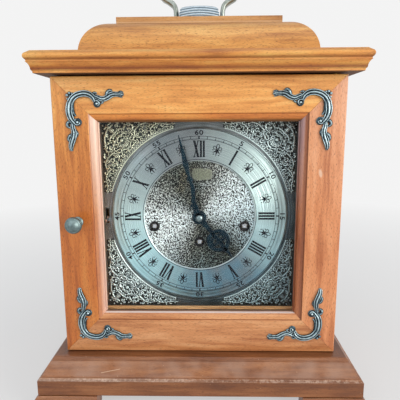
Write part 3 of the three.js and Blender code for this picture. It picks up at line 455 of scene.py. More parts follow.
def glassFinish(name):
    # lamps pass straight through, so that the dial behind is lit
    made = newFinish(name)
    smear = made.spread(made.noise(made.place(), 0.03, 3.0, 0.6), 0.45, 0.8, 0.0, 0.03)
    pane = made.surface(colour=(1, 1, 1, 1), rough=smear, clear=1.0, ior=1.14)
    passing = made.node("BsdfTransparent", None, {0: (1, 1, 1, 1)})
    shadow = made.node("LightPath", None, None, 1)
    return made.done(made.node("MixShader", None, {0: shadow, 1: pane, 2: passing}))


def floorFinish(name):
    # a white sweep to the eye, a pale floor to the lamps; it keeps part of the shadow
    made = newFinish(name)
    cloud = made.noise(made.place(), 0.002)
    soft = made.surface(colour=made.mix(cloud * 0.2, (214, 214, 214), (222, 222, 222)), rough=0.9)
    x, y, z = made.axes(made.place())
    far = made.spread((x * x + y * y).maths("SQRT"), 250.0, 1100.0, 0.55, 1.0)
    glow = made.node("Emission", None, {0: (1, 1, 1, 1), 1: backdropGlow})
    return made.done(made.node("MixShader", None, {0: made.seen() * far, 1: soft, 2: glow}))


backdropGlow = 0.9
finishes = {
    "hood": woodFinish("hoodWood", woodTones["hood"], "X", (31, 5, 2), 0.7, 0.42, hoodShade, 0.2),
    "cap": woodFinish("capWood", woodTones["cap"], "X", (90, 40, 8), 0.5, 0.4, capShade, 0.2),
    "cornice": woodFinish("corniceWood", woodTones["cornice"], "ring", (7, 3, 9), 0.5, 0.42, corniceShade,
                          0.08),
    "side": woodFinish("sideWood", woodTones["side"], "Z", (140, 33, 12), 0.55),
    "frame": woodFinish("frameWood", woodTones["cornice"], "Z", (12, 8, 30), 0.5),
    "rear": woodFinish("rearDoorWood", woodTones["side"], "Z", (72, 90, 41), 0.5),
    "base": woodFinish("baseWood", woodTones["base"], "ring", (19, 2, 44), 0.45, 0.38, baseWear, 0.25),
    "foot": woodFinish("footWood", woodTones["base"], "ring", (60, 9, 80), 0.4, 0.42),
    "plain": woodFinish("plainWood", woodTones["plain"], "X", (5, 70, 66), 0.4, 0.62, None, 0.0),
    "pewter": castFinish("agedPewter", [(10, 16, 20), (56, 76, 86), (196, 220, 226)], -76.9, -79.9,
                         0.8, 0.36, 0.8, -0.2),
    "knob": metalFinish("knobPewter", (128, 146, 146), 0.5, (88, 104, 106), 0.25),
    "spandrel": castFinish("spandrelBrass", [(18, 24, 26), (66, 82, 84), (224, 244, 244)], -50.9, -52.6,
                           0.7, 0.34, 0.8, -0.1, (176, 190, 196)),
    "spandrelShade": metalFinish("spandrelShade", (34, 42, 44), 0.55, (56, 62, 58), 0.5, 0.5, 0.3),
    "ring": ringFinish("silveredRing"),
    "dial": dialFinish("mattedDial"),
    "ink": inkFinish("dialInk", (6, 11, 18), (20, 28, 38)),
    "grommet": inkFinish("grommetBlack", (5, 6, 7), (12, 14, 16), 0.3),
    "blued": metalFinish("bluedSteel", (38, 58, 68), 0.38, (18, 28, 36), 0.15),
    "nut": metalFinish("nutSteel", (140, 158, 160), 0.34, (96, 112, 116), 0.5),
    "steel": metalFinish("brightSteel", (206, 210, 212), 0.24, (170, 174, 178), 0.2),
    "handle": metalFinish("handleMetal", (176, 184, 178), 0.34, (132, 138, 128), 0.12, 0.95, 0.2),
    "saddle": saddleFinish("saddleMetal"),
    "plate": metalFinish("plateBrass", (206, 172, 96), 0.3, (178, 142, 74), 0.06),
    "iron": metalFinish("blackIron", (44, 44, 46), 0.55, (30, 30, 32), 0.3, 0.7, 0.3),
    "glass": glassFinish("clearGlass"),
    "floor": floorFinish("studioFloor"),
}
for name, tones, side, grain, shift, pores in (
        ("topRail", "case", "top", "X", (210, 14, 5), 0.5),
        ("bottomRail", "bottomRail", "bottom", "X", (430, 77, 3), 0.5),
        ("leftStile", "leftStile", "left", "Z", (55, 21, 4), 0.6),
        ("rightStile", "rightStile", "right", "Z", (330, 63, 9), 0.6)):
    finishes[name] = woodFinish(name + "Wood", woodTones[tones], grain, shift, pores, worn=railShade(side))
print("finishes mixed:", len(finishes))


def keep(bm, name, body, finish, stands=(), angle=32, loose=False):
    # takes a mesh from millimetres to metres, closes it, turns its faces outwards and sets it on its body
    resize(bm, mm, mm, mm)
    if not loose:
        bmesh.ops.remove_doubles(bm, verts=bm.verts, dist=1e-6)
        bmesh.ops.recalc_face_normals(bm, faces=bm.faces)
    mesh = bpy.data.meshes.new(name)
    bm.to_mesh(mesh)
    bm.free()
    for face in mesh.polygons:
        face.use_smooth = True
    mesh.set_sharp_from_angle(angle=math.radians(angle))
    made = bpy.data.objects.new(name, mesh)
    scene.collection.objects.link(made)
    mesh.materials.append(finishes[finish])
    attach(made, body)
    if stands:
        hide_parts(*stands)
    return made


def resize(bm, x, y, z):
    bmesh.ops.scale(bm, vec=(x, y, z), verts=bm.verts)


def shift(bm, x, y, z):
    bmesh.ops.translate(bm, vec=(x, y, z), verts=bm.verts)


def turn(bm, degrees, axis="Y"):
    bmesh.ops.rotate(bm, cent=(0, 0, 0), matrix=Matrix.Rotation(math.radians(degrees), 3, axis), verts=bm.verts)


def opened(mesh):
    bm = bmesh.new()
    bm.from_mesh(mesh)
    return bm


def only(kind, parts):
    return [part for part in parts if isinstance(part, kind)]


def settled(holder):
    # what an object comes out as, once its curve, text or modifiers are worked out; the object goes
    scene.collection.objects.link(holder)
    bpy.context.view_layer.update()
    shape = bpy.data.meshes.new_from_object(holder.evaluated_get(bpy.context.evaluated_depsgraph_get()))
    bm = opened(shape)
    bpy.data.objects.remove(holder)
    bpy.data.meshes.remove(shape)
    return bm


def raised(bm, face, inner):
    # pulls a face on to the next level; the old one goes when walls already stand under it
    grown = bmesh.ops.extrude_face_region(bm, geom=face)["geom"]
    if inner:
        bmesh.ops.delete(bm, geom=face, context="FACES_ONLY")
    return only(bmesh.types.BMVert, grown), only(bmesh.types.BMFace, grown)


def mouldedBlock(outline):
    # (spread, height) pairs from the bottom up; each is a rectangle that much larger than the case
    bm = bmesh.new()
    bmesh.ops.create_grid(bm, x_segments=1, y_segments=1, size=1)
    level = list(bm.verts)
    face = bm.faces[:]
    for number, (out, height) in enumerate(outline):
        if number:
            level, face = raised(bm, face, number > 1)
        for v in level:
            v.co = (math.copysign(halfWidth + out, v.co.x), math.copysign(halfDepth + out, v.co.y), height)
    return bm


def arc(centre, radii, start, end, steps):
    # points round part of an ellipse, in degrees
    turns = [math.radians(start + (end - start) * i / steps) for i in range(steps + 1)]
    return [(centre[0] + radii[0] * math.cos(a), centre[1] + radii[1] * math.sin(a)) for a in turns]


def swing(start, end, steps):
    # an S-shaped run from one point to another
    shares = [i / steps for i in range(steps + 1)]
    return [(start[0] + (end[0] - start[0]) * t,
             start[1] + (end[1] - start[1]) * (0.5 - 0.5 * math.cos(math.pi * t))) for t in shares]


def turned(profile, centreX, centreZ, steps=48):
    # (radius, Y) pairs spun about a line along Y
    bm = bmesh.new()
    chain = [bm.verts.new((r, y, 0)) for r, y in profile]
    edges = [bm.edges.new(pair) for pair in zip(chain, chain[1:])]
    bmesh.ops.spin(bm, geom=chain + edges, cent=(0, 0, 0), axis=(0, 1, 0), angle=math.tau, steps=steps,
                   use_merge=True)
    shift(bm, centreX, 0, centreZ)
    return bm


def easeEdges(bm, limit, width, segments):
    # every edge sharper than the limit gets rounded; the mesh then goes from metres to millimetres
    sharp = [e for e in bm.edges if e.is_manifold and e.calc_face_angle() > math.radians(limit)]
    bmesh.ops.bevel(bm, geom=sharp, offset=width * mm, segments=segments, profile=0.5, affect="EDGES",
                    material=-1, clamp_overlap=True)
    resize(bm, 1 / mm, 1 / mm, 1 / mm)


def easedCopy(node, width, segments=2, limit=40):
    # a CAD node's mesh with its loose triangles joined and its sharp edges eased
    bm = opened(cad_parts[node].data)
    bmesh.ops.remove_doubles(bm, verts=bm.verts, dist=2e-6)
    bmesh.ops.dissolve_limit(bm, angle_limit=math.radians(0.8), verts=bm.verts, edges=bm.edges)
    easeEdges(bm, limit, width, segments)
    return bm


def dress(finish, *nodes):
    # a CAD node whose shape stays gets its finish
    for node in nodes:
        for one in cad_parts[node].material_slots:
            one.link = "OBJECT"
            one.material = finishes[finish]


base = {
    "bottom": 14.3, "ceiling": 35.5, "plinthTop": 30.0, "top": 47.5, "spread": 22.4, "topSpread": 8.0,
    "bead": 2.9, "footTop": 14.0, "footSwell": 3.6, "footFront": 56.0, "footSide": 46.0, "footThick": 16.0,
    "footLevels": 12,
    # how far up a foot, and the share of its swelling there
    "knots": [(0.0, 0.33), (0.21, 0.83), (0.53, 1.0), (0.79, 0.78), (1.0, 0.06)],
}


def makeBase(b=base):
    low, out, top, bead = b["plinthTop"], b["spread"], b["top"], b["bead"]
    outline = [(0, b["ceiling"]), (0, b["bottom"]), (out - 0.7, b["bottom"]), (out, b["bottom"] + 0.7),
               (out, low - 0.9)]
    outline += arc((out - 0.9, low - 0.9), (0.9, 0.9), 0, 90, 4)[1:]
    outline += [(out - 1.7, low + 0.2)]
    outline += swing((out - 2.0, low + 1.6), (b["topSpread"] + bead, top - bead - 0.4), 16)
    outline += arc((b["topSpread"], top - bead), (bead, bead), 0, 90, 9)
    keep(mouldedBlock(outline), "base_moulding", "case", "base", ["base"])


def swell(t, knots):
    # eased between the knots: quick at the start when it grows, slow at both ends when it shrinks
    for (t0, s0), (t1, s1) in zip(knots, knots[1:]):
        if t <= t1:
            u = (t - t0) / (t1 - t0)
            return s0 + (s1 - s0) * (3 * u * u - 2 * u ** 3 if s0 > s1 else math.sin(u * math.pi / 2))


def makeFoot(name, sx, sy, b=base):
    # an L in plan, grown upwards with its outer faces swelling
    farX, farY = halfWidth + b["spread"], halfDepth + b["spread"]
    endX, endY = farX - b["footFront"], farY - b["footSide"]
    inX, inY = farX - b["footThick"], farY - b["footThick"]
    bm = bmesh.new()
    plan = [(farX, farY), (endX, farY), (endX, inY), (inX, inY), (inX, endY), (farX, endY)]
    level = [bm.verts.new((sx * x, sy * y, 0)) for x, y in plan]
    face = [bm.faces.new(level)]
    for step in range(b["footLevels"] + 1):
        if step:
            level, face = raised(bm, face, step > 1)
        share = step / b["footLevels"]
        out = b["footSwell"] * swell(share, b["knots"])
        for v in level:
            wide, deep = abs(v.co.x) > farX - 1, abs(v.co.y) > farY - 1
            v.co = (sx * (farX + out) if wide else v.co.x, sy * (farY + out) if deep else v.co.y,
                    b["footTop"] * share)
    keep(bm, name + "_turned", "case", "foot", [name])


def makeCornice(c=cornice):
    shares = [(0.644, 0), (0.662, 0.097), (0.7, 0.114)]
    shares += arc((1.037, 0.168), (0.306, 0.346), 180, 112, 10)
    shares += [(0.888, 0.497), (0.888, 0.541)]
    shares += arc((0.787, 0.73), (0.213, 0.184), -60, 60, 12)
    shares += [(0.806, 0.94), (0.712, 1)]
    bm = mouldedBlock([(c["spread"] * out, c["bottom"] + c["height"] * up) for out, up in shares])
    keep(bm, "cornice_moulding", "case", "cornice", ["cornice"])


hood = {"foot": 328.3, "top": 361.5, "border": 20.0, "run": 30.0, "step": 1.2,
        "capLow": 361.8, "capTop": 368.3, "round": 0.7}


def makeHood(h=hood):
    foot, out, r = h["foot"] + h["step"], -h["border"] - h["run"], h["round"]
    outline = [(-h["border"], h["foot"])] + arc((out, foot), (h["run"], h["top"] - foot), 0, 90, 24)
    keep(mouldedBlock(outline), "hood_top", "case", "hood", ["hood"])
    outline = arc((out - r, h["capLow"] + r), (r, r), -90, 0, 4)
    outline += arc((out - r, h["capTop"] - r), (r, r), 0, 90, 4)
    keep(mouldedBlock(outline), "cap_top", "case", "cap", ["cap_board"])


makeBase()
for front, sy in (("front", -1), ("back", 1)):
    for side, sx in (("left", -1), ("right", 1)):
        makeFoot(f"foot_{front}_{side}", sx, sy)
makeCornice()
makeHood()
print("base, cornice and hood made")

for node, finish in (("side_left", "side"), ("side_right", "side"), ("back_frame", "frame")):
    keep(easedCopy(node, 0.8), node + "_board", "case", finish, [node])
keep(easedCopy("rear_door", 0.6), "rear_door_leaf", "rear_door", "rear", ["rear_door"])
keep(easedCopy("rear_catch", 0.3), "rear_catch_turn", "rear_catch", "plate", ["rear_catch"])
dress("frame", "front_frame")

door = {
    "face": 32.5, "quirk": 0.9, "sight": 40.0, "drop": 6.0, "lip": 8.0, "rebate": 36.0, "thick": 20.0,
    "edge": 1.1, "gap": 0.1, "bead": 0.7, "spare": 10,
}


def railSection(d=door):
    # (inset from the door's edge, depth behind its face), anticlockwise
    r, s, b, q, face, drop = d["edge"], d["sight"], d["bead"], d["quirk"], d["face"], d["drop"]
    section = arc((r, r), (r, r), 180, 270, 5)
    section += [(face - 0.5, 0), (face - 0.1, 0.25), (face, q + 0.3), (face + 0.5, q + 0.25)]
    section += arc((face + 0.6, drop - 0.3), (s - b * 1.6 - face - 0.6, drop - 0.3 - q), -90, -8, 12)
    section += arc((s - b, drop + 0.2), (b, b * 1.1), 190, 360, 8)
    section += [(s, d["lip"]), (d["rebate"], d["lip"]), (d["rebate"], d["thick"]), (0.4, d["thick"]),
                (0, d["thick"] - 0.4)]
    return section


def cutOff(bm, point, normal):
    # everything in front of a plane goes, and the cut is closed
    cut = bmesh.ops.bisect_plane(bm, geom=bm.verts[:] + bm.edges[:] + bm.faces[:], dist=1e-5,
                                 plane_co=point, plane_no=normal, clear_outer=True)["geom_cut"]
    bmesh.ops.holes_fill(bm, edges=only(bmesh.types.BMEdge, cut), sides=0)


def makeRail(name, quarter, finish):
    # made as the top rail, then turned to its side
    bm = bmesh.new()
    start = -halfWidth - door["spare"]
    ring = [bm.verts.new((start, doorFront + deep, doorHalf - inset)) for inset, deep in railSection()]
    grown = bmesh.ops.extrude_face_region(bm, geom=[bm.faces.new(ring)])["geom"]
    bmesh.ops.translate(bm, vec=(-2 * start, 0, 0), verts=only(bmesh.types.BMVert, grown))
    for s in (-1, 1):
        cutOff(bm, (-s * door["gap"], 0, 0), (s, 0, -1))
    turn(bm, -90 * quarter)
    if quarter != 1:       # the edge that swings past the case is round about the pivots
        for step in range(1, 8):
            a = math.pi / 2 * step / 8
            normal = Vector((math.cos(a), math.sin(a), 0))
            cutOff(bm, Vector((pivotX, pivotY, 0)) + normal * pivotRound, normal)
    shift(bm, 0, 0, doorMid)
    keep(bm, name + "_wood", "door", finish, [name], 28)


knob = {
    "x": -112.0, "z": 177.5, "radius": 7.7, "front": -96.5, "back": -76.8,
    # shares of the radius, and of the way out from the door
    "shares": [(0, 0), (0.62, 0), (0.66, 0.02), (0.66, 0.06), (0.6, 0.08), (0.5, 0.1), (0.42, 0.15),
               (0.38, 0.25), (0.37, 0.4), (0.41, 0.48), (0.5, 0.54), (0.72, 0.575), (0.92, 0.62),
               (0.99, 0.67), (1, 0.72), (0.97, 0.775), (0.88, 0.83), (0.8, 0.85), (0.76, 0.845),
               (0.7, 0.86), (0.55, 0.915), (0.35, 0.96), (0.15, 0.99), (0, 1)],
}


def makeKnob(k=knob):
    stand = k["back"] - k["front"]
    bm = turned([(k["radius"] * out, k["back"] - stand * up) for out, up in k["shares"]], k["x"], k["z"])
    keep(bm, "knob_turned", "door", "knob", ["door_knob"])


for quarter, (rail, finish) in enumerate((("top_rail", "topRail"), ("left_stile", "leftStile"),
                                          ("bottom_rail", "bottomRail"), ("right_stile", "rightStile"))):
    makeRail("door_" + rail, quarter, finish)
dress("glass", "door_glass")
dress("plain", "glass_strip_top", "glass_strip_bottom")
dress("plate", "door_pivot_top", "door_pivot_bottom")
makeKnob()
print("door made")


def ridgedSection(ridges, height, steps=30):
    # half a bead with grooves along it, closed by a flat back
    top = []
    for i in range(steps + 1):
        x = -1 + 2 * i / steps
        crown = math.sqrt(max(0, 1 - x * x))
        top.append((x, height * crown ** 0.6 * (0.5 + 0.5 * abs(math.cos(ridges * math.pi * x / 2)) ** 0.8)))
    return top


def sweptBands(bands, section):
    # each band is a smooth line of (x, z, half width); returns a bmesh lying on the XZ plane, facing -Y
    outline = bpy.data.curves.new("section", "CURVE")
    outline.dimensions = "2D"
    spline = outline.splines.new("POLY")
    spline.points.add(len(section) - 1)
    for point, (x, h) in zip(spline.points, section):
        point.co = (x, h, 0, 1)
    spline.use_cyclic_u = True
    outlineObject = bpy.data.objects.new("section", outline)
    scene.collection.objects.link(outlineObject)
    line = bpy.data.curves.new("bands", "CURVE")
    line.dimensions = "3D"
    line.twist_mode = "Z_UP"
    line.bevel_mode = "OBJECT"
    line.bevel_object = outlineObject
    line.use_fill_caps = True
    line.resolution_u = 5
    for band in bands:
        spline = line.splines.new("BEZIER")
        spline.bezier_points.add(len(band) - 1)
        for point, (x, z, half) in zip(spline.bezier_points, band):
            point.co = (x, z, 0)
            point.radius = half
            point.handle_left_type = point.handle_right_type = "AUTO"
    bm = settled(bpy.data.objects.new("bands", line))
    bpy.data.objects.remove(outlineObject)
    turn(bm, 90, "X")
    return bm


def scroll(x, z, radius, start, turns, half, steps, flip):
    # a spiral that winds into its centre, as (x, z, half width) knots
    knots = []
    for i in range(steps + 1):
        t = i / steps
        a = math.radians(start) + flip * math.tau * turns * t
        r = radius * (1 - 0.82 * t)
        wide = half * (0.55 + 0.6 * math.sin(math.pi * min(1, t * 1.15 + 0.1)))
        knots.append((x + r * math.cos(a), z + r * math.sin(a), wide))
    return knots


def mirrored(bands):
    return [[(z, x, half) for x, z, half in band] for band in bands]


def combined(first, *others):
    # several meshes in one
    for other in others:
        part = bpy.data.meshes.new("part")
        other.to_mesh(part)
        other.free()
        first.from_mesh(part)
        bpy.data.meshes.remove(part)
    return first


def domes(places):
    # bosses, each a flattened ball given as x, z, radius and rise
    bm = bmesh.new()
    for x, z, radius, rise in places:
        size = Matrix.Diagonal((radius, rise, radius, 1))
        bmesh.ops.create_uvsphere(bm, u_segments=20, v_segments=12, radius=1,
                                  matrix=Matrix.Translation((x, 0, z)) @ size)
    return bm


def markRelief(mesh):
    # writes how far each point stands out from its neighbours, 0 in a hollow and 1 on a ridge
    count = len(mesh.vertices)
    spots, facing = numpy.empty(count * 3), numpy.empty(count * 3)
    ends = numpy.empty(len(mesh.edges) * 2, dtype=int)
    mesh.vertices.foreach_get("co", spots)
    mesh.vertex_normals.foreach_get("vector", facing)
    mesh.edges.foreach_get("vertices", ends)
    spots, facing, ends = spots.reshape(-1, 3), facing.reshape(-1, 3), ends.reshape(-1, 2)
    near = numpy.bincount(ends.ravel(), minlength=count).clip(1)

    def around(values):
        # the mean of each point's neighbours
        total = numpy.zeros_like(values)
        numpy.add.at(total, ends[:, 0], values[ends[:, 1]])
        numpy.add.at(total, ends[:, 1], values[ends[:, 0]])
        return (total.T / near).T

    level = ((spots - around(spots)) * facing).sum(axis=1)
    for _ in range(2):
        level = 0.4 * level + 0.6 * around(level)
    level = 0.5 + 0.5 * level / numpy.quantile(abs(level), 0.9)
    mesh.attributes.new("relief", "FLOAT", "POINT").data.foreach_set("value", level.clip(0, 1))


def fused(bm, voxel):
    # overlapping bands melted into one casting
    bmesh.ops.recalc_face_normals(bm, faces=bm.faces)
    mesh = bpy.data.meshes.new("rough")
    bm.to_mesh(mesh)
    bm.free()
    rough = bpy.data.objects.new("rough", mesh)
    melt = rough.modifiers.new("melt", "REMESH")
    melt.mode = "VOXEL"
    melt.voxel_size = voxel
    soften = rough.modifiers.new("soften", "SMOOTH")
    soften.factor = 0.5
    soften.iterations = 1
    result = settled(rough)
    bpy.data.meshes.remove(mesh)
    return result


def casting(bm, voxel, thick):
    # cut flat at the back, melted together and brought to its thickness
    bmesh.ops.bisect_plane(bm, geom=bm.verts[:] + bm.edges[:] + bm.faces[:], plane_co=(0, 0.02, 0),
                           plane_no=(0, 1, 0), clear_outer=True)
    bmesh.ops.holes_fill(bm, edges=[e for e in bm.edges if e.is_boundary], sides=0)
    bm = fused(bm, voxel)
    resize(bm, 1, thick / -min(v.co.y for v in bm.verts), 1)
    cast = bpy.data.meshes.new("cast")
    bm.to_mesh(cast)
    bm.free()
    markRelief(cast)
    return cast


def placeCast(cast, node, flipX, flipZ, reach, y, mid, body, finish):
    # a casting is drawn from the outer corner inwards; each corner gets its copy
    bm = opened(cast)
    resize(bm, flipX, 1, flipZ)
    shift(bm, -flipX * reach, y, mid - flipZ * reach)
    keep(bm, node + "_cast", body, finish, [node], 60)


corners = [("top_left", 1, -1), ("top_right", -1, -1), ("bottom_left", 1, 1), ("bottom_right", -1, 1)]
ornament = {
    "inset": 116.8, "back": -76.8, "thick": 3.3, "voxel": 0.24,
    # x runs from the outer corner along the rail, z along the stile
    "loop": [(26.2, 8.8, 1.8), (24.4, 5, 2.5), (21.4, 2.7, 2.8), (17.8, 1.8, 2.9), (13.2, 2.2, 2.9),
             (8.4, 4.3, 2.9), (4.7, 8.6, 3), (3.1, 13.8, 3.2), (3, 18.6, 3.2), (4.4, 23.6, 2.9),
             (7.2, 27.6, 2.1)],
    "tailA": [(24.2, 3.2, 1.5), (28.4, 4.9, 2), (33.2, 6.6, 2.4), (37.4, 5.2, 2.6), (41.4, 2.9, 2.6),
              (45.8, 2.6, 2.2), (49.4, 2.6, 1.9), (51.6, 3.4, 1)],
    "tailB": [(4.9, 27.8, 1.8), (5.4, 31.6, 2.2), (6.2, 35.2, 2.5), (5.7, 39.6, 2.7), (4.2, 43.6, 2.8),
              (3, 47.4, 2.4), (2.8, 50.2, 1.9), (3.5, 52, 1)],
    "leaves": [
        [(13.8, 3.8, 0.9), (10.2, 4.4, 1.5), (7.2, 6.6, 1.9), (5.7, 10.4, 2), (5.6, 14.8, 1.9),
         (6.4, 18.4, 1.5), (8.4, 21.2, 0.8)],
        [(23.4, 3, 0.8), (25.6, 1.2, 1.3), (28.2, 1.6, 0.6)],
        [(36.2, 4.6, 1.5), (37.4, 1.4, 2.1), (39.4, -0.6, 1.7), (41.8, 0, 0.9)],
        [(31, 7.2, 1), (32.8, 9.2, 1.3), (31, 10.6, 0.6)],
        [(4.8, 26.4, 1.2), (1.6, 26.6, 1.8), (0.5, 29.4, 1.7), (2.6, 31.6, 1)],
        [(6, 37.4, 1.4), (2.6, 38.4, 2), (0.9, 41.4, 1.7), (1.8, 44.2, 0.9)],
        [(7.6, 33, 0.8), (9, 36.4, 1.2), (8.2, 39.6, 0.8)],
        [(46.4, 1.4, 0.8), (49, 0.4, 1.1), (51.4, 1.2, 0.6)],
        [(45, 3.6, 0.8), (48.4, 4.6, 0.9), (50.6, 5.4, 0.4)],
    ],
    "buds": [(1.5, 3, 1.5), (3.6, 1.3, 1.5), (6.2, 1.8, 1.2), (1.9, 6.2, 1.3), (4.6, 4.4, 1.8)],
    "volutes": [(27.8, 10.6, 3.6, 200), (9.8, 26.6, 3.9, 250)],
}


def makeOrnaments(o=ornament):
    curls, balls = [], [(x, z, radius, radius * 0.95) for x, z, radius in o["buds"]]
    for x, z, radius, start in o["volutes"]:
        curls.append(scroll(x, z, radius - 0.7, start, 1.15, 0.95, 10, 1 if x > z else -1))
        balls += [(x, z, radius * 0.95, 1.5), (x, z, radius * 0.42, 2.9)]
    bands = sweptBands([o["loop"], o["tailA"], o["tailB"]], ridgedSection(2, 1.05))
    cast = casting(combined(bands, sweptBands(o["leaves"], ridgedSection(1, 1.15)),
                            sweptBands(curls, ridgedSection(1, 1.9)), domes(balls)), o["voxel"], o["thick"])
    for corner, flipX, flipZ in corners:
        placeCast(cast, "ornament_" + corner, flipX, flipZ, o["inset"], o["back"], doorMid,
                  "door", "pewter")


makeOrnaments()
print("ornaments cast")

spandrel = {
    "ground": -50.3, "thick": 2.5, "sheet": 0.5, "voxel": 0.3, "inner": 88.6, "end": 22.9, "rim": 3.2,
    # from the dial's outer corner: x runs along the top edge, z down the side
    "scrolls": [
        [(4, 30, 0.6), (2.6, 22, 0.8), (3.2, 13, 0.9), (6.6, 6.6, 0.9)],
        [(24, 11.6, 0.5), (19.6, 12.4, 0.75), (15.6, 15.6, 0.8)],
        [(47, 3.4, 0.5), (40, 2.6, 0.75), (34.4, 5.6, 0.85), (31, 11, 0.75), (33.4, 15.6, 0.65),
         (38, 14.6, 0.5)],
        [(70, 3, 0.4), (62, 3.4, 0.6), (55, 2.4, 0.75), (49, 4.6, 0.8), (46.4, 8.8, 0.7),
         (49, 12, 0.6), (52.6, 10.4, 0.5)],
        [(56, 9.4, 0.45), (60, 6, 0.6), (65.4, 5.4, 0.5)],
        [(22, 4, 0.6), (27, 3, 0.75), (29.6, 6.6, 0.75), (26.6, 10.6, 0.7), (22, 10, 0.55)],
        [(12, 12, 1), (16, 8, 0.8), (21.6, 7, 0.6)],
        [(34, 19.6, 0.5), (29, 19, 0.7), (26.6, 23.4, 0.75), (27.4, 27.6, 0.6)],
        [(42.6, 17.6, 0.45), (40.6, 11.6, 0.6), (43.4, 7, 0.5)],
    ],
    "leaves": [
        [(5.6, 5.6, 1.6), (8.8, 8.8, 2), (12.6, 12.6, 1.2)],
        [(14.6, 21.6, 0.7), (17.4, 26.6, 1), (21.4, 30, 0.9), (25.4, 31.6, 0.4)],
        [(36, 9, 0.6), (37.6, 6.6, 0.9), (41.2, 5.4, 0.5)],
        [(58.6, 3.6, 0.5), (60.6, 1.8, 0.7), (63.4, 1.7, 0.4)],
    ],
    "bosses": [(6.4, 6.4, 2.2), (18.6, 18.6, 1.9), (30.8, 14.4, 1.4), (46.6, 9, 1.1), (35.6, 3, 1.1),
               (52, 3.2, 1)],
}


def spots(gap, inside, tries, seed):
    # places no nearer to each other than the gap
    dice = random.Random(seed)
    found = []
    for _ in range(tries):
        x, z = dice.uniform(0, 72), dice.uniform(0, 72)
        if inside(x, z) and all(math.hypot(x - u, z - w) > gap for u, w in found):
            found.append((x, z))
    return found, dice


def makeSpandrels(p=spandrel):
    # half of the corner is drawn and its mirror about the diagonal added
    side, near, end = dialHalf - p["rim"], p["inner"], p["end"]

    def within(margin):
        return lambda x, z: (x > z and z > margin and x < side - end - margin
                             and math.hypot(side - x, side - z) > near + margin + 1.5)

    def along(out, *sizes):
        # points along the inner edge, which follows the chapter ring
        return [(side - (near + out) * math.cos(a), side - (near + out) * math.sin(a), *sizes) for a in turns]

    curls, commas = [], []
    places, dice = spots(4.0, within(2.2), 4000, 11)
    for x, z in places:
        flip = dice.choice((-1, 1))
        curls.append(scroll(x, z, dice.uniform(1.7, 2.5), dice.uniform(0, 360), dice.uniform(0.7, 1.1),
                            dice.uniform(0.5, 0.66), 7, flip))
    places, dice = spots(2.4, within(0.9), 6000, 5)
    for x, z in places:
        a, r = dice.uniform(0, math.tau), dice.uniform(1.1, 1.7)
        b = a + dice.choice((-1, 1)) * 1.1
        commas.append([(x, z, 0.5), (x + r * math.cos(a) * 0.6, z + r * math.sin(a) * 0.6, 0.75),
                       (x + r * math.cos(b), z + r * math.sin(b), 0.25)])
    first = math.asin((end + 1.5) / near)
    turns = [first + (math.pi / 2 - 2 * first) * i / 36 for i in range(37)]
    balls = []
    for x, z, radius in p["bosses"]:
        both = [(x, z), (z, x)] if abs(x - z) > 1 else [(x, z)]
        balls += [(u, w, radius, min(radius * 0.7, 1.9)) for u, w in both]
    balls += along(1.3, 0.75, 0.9)
    rays, hub, flutes = 9, 18.6, []                     # the shell: flutes that spread from a small boss
    for i in range(rays):
        a = math.radians(45 + (i - (rays - 1) / 2) * 15)
        flutes.append([(hub + r * math.cos(a), hub + r * math.sin(a), h) for r, h in
                       ((1.6, 0.3), (3.4, 0.55), (5.0, 0.75), (6.4, 0.75), (7.4, 0.4))])
    layers = [sweptBands(bands, ridgedSection(*section)) for bands, section in (
        (p["scrolls"] + mirrored(p["scrolls"][1:]), (1, 1.5, 12)),
        (p["leaves"] + mirrored(p["leaves"][1:]), (2, 0.8, 16)),
        ([along(0, 0.75), along(2.6, 0.45)], (0, 1.1, 12)), (flutes, (1, 1.5, 12)),
        (curls + mirrored(curls), (1, 2.2, 8)), (commas + mirrored(commas), (1, 1.7, 8)))]
    front = p["ground"] - p["sheet"]
    cast = casting(combined(*layers, domes(balls)), p["voxel"], p["thick"] - p["sheet"])
    for corner, flipX, flipZ in corners:
        node = "spandrel_" + corner
        placeCast(cast, node, flipX, flipZ, side, front, dialMid, "case", "spandrel")
        back = easedCopy(node, 0.05, 1)       # a thin dark sheet behind the openwork: painted shade between the scrolls
        for v in back.verts:
            v.co.y = max(v.co.y, front)
        keep(back, node + "_sheet", "case", "spandrelShade")


makeSpandrels()
dress("dial", "dial_plate")
print("spandrels cast")

ring = {
    "outer": 85.7, "inner": 54.1, "back": -50.3, "front": -51.5, "lip": 0.6, "ink": 0.05, "sunk": 0.02,
    "track": (74.8, 77.6), "hours": (57.6, 73.4), "halves": 66.0, "figures": 81.0,
    # radius and width of each printed circle
    "circles": [(84.6, 0.45), (77.6, 0.45), (74.8, 0.45), (55.4, 0.55)],
}
# Each letter: its width, its strokes (x and end, x and end, width) and its serifs at the foot and at the head
# (x, half width); end 0 is at the foot.
letters = {
    "I": (2.75, [(0, 0, 0, 1, 1.9)], [[(0, 1.2)], [(0, 1.2)]]),
    "V": (6.1, [(-1.83, 1, 0.15, 0, 2.09), (1.83, 1, 0.15, 0, 0.85)],
          [[(0.15, 1.1)], [(-1.83, 1.35), (1.83, 1.1)]]),
    "X": (6.3, [(-1.89, 1, 1.89, 0, 2.185), (1.89, 1, -1.89, 0, 0.85)],
          [[(-1.89, 1.3), (1.89, 1.3)], [(-1.89, 1.3), (1.89, 1.3)]]),
}
hours = ["XII", "I", "II", "III", "IIII", "V", "VI", "VII", "VIII", "IX", "X", "XI"]


def makeRing(r=ring):
    lip, low, high = r["lip"], r["inner"], r["outer"]
    bm = turned([(low, r["back"]), (low, r["front"] + lip), (low + lip, r["front"]), (high - lip, r["front"]),
                 (high, r["front"] + lip), (high, r["back"]), (low, r["back"])], 0, dialMid, 144)
    keep(bm, "chapter_ring_plate", "case", "ring", ["chapter_ring"], 20)


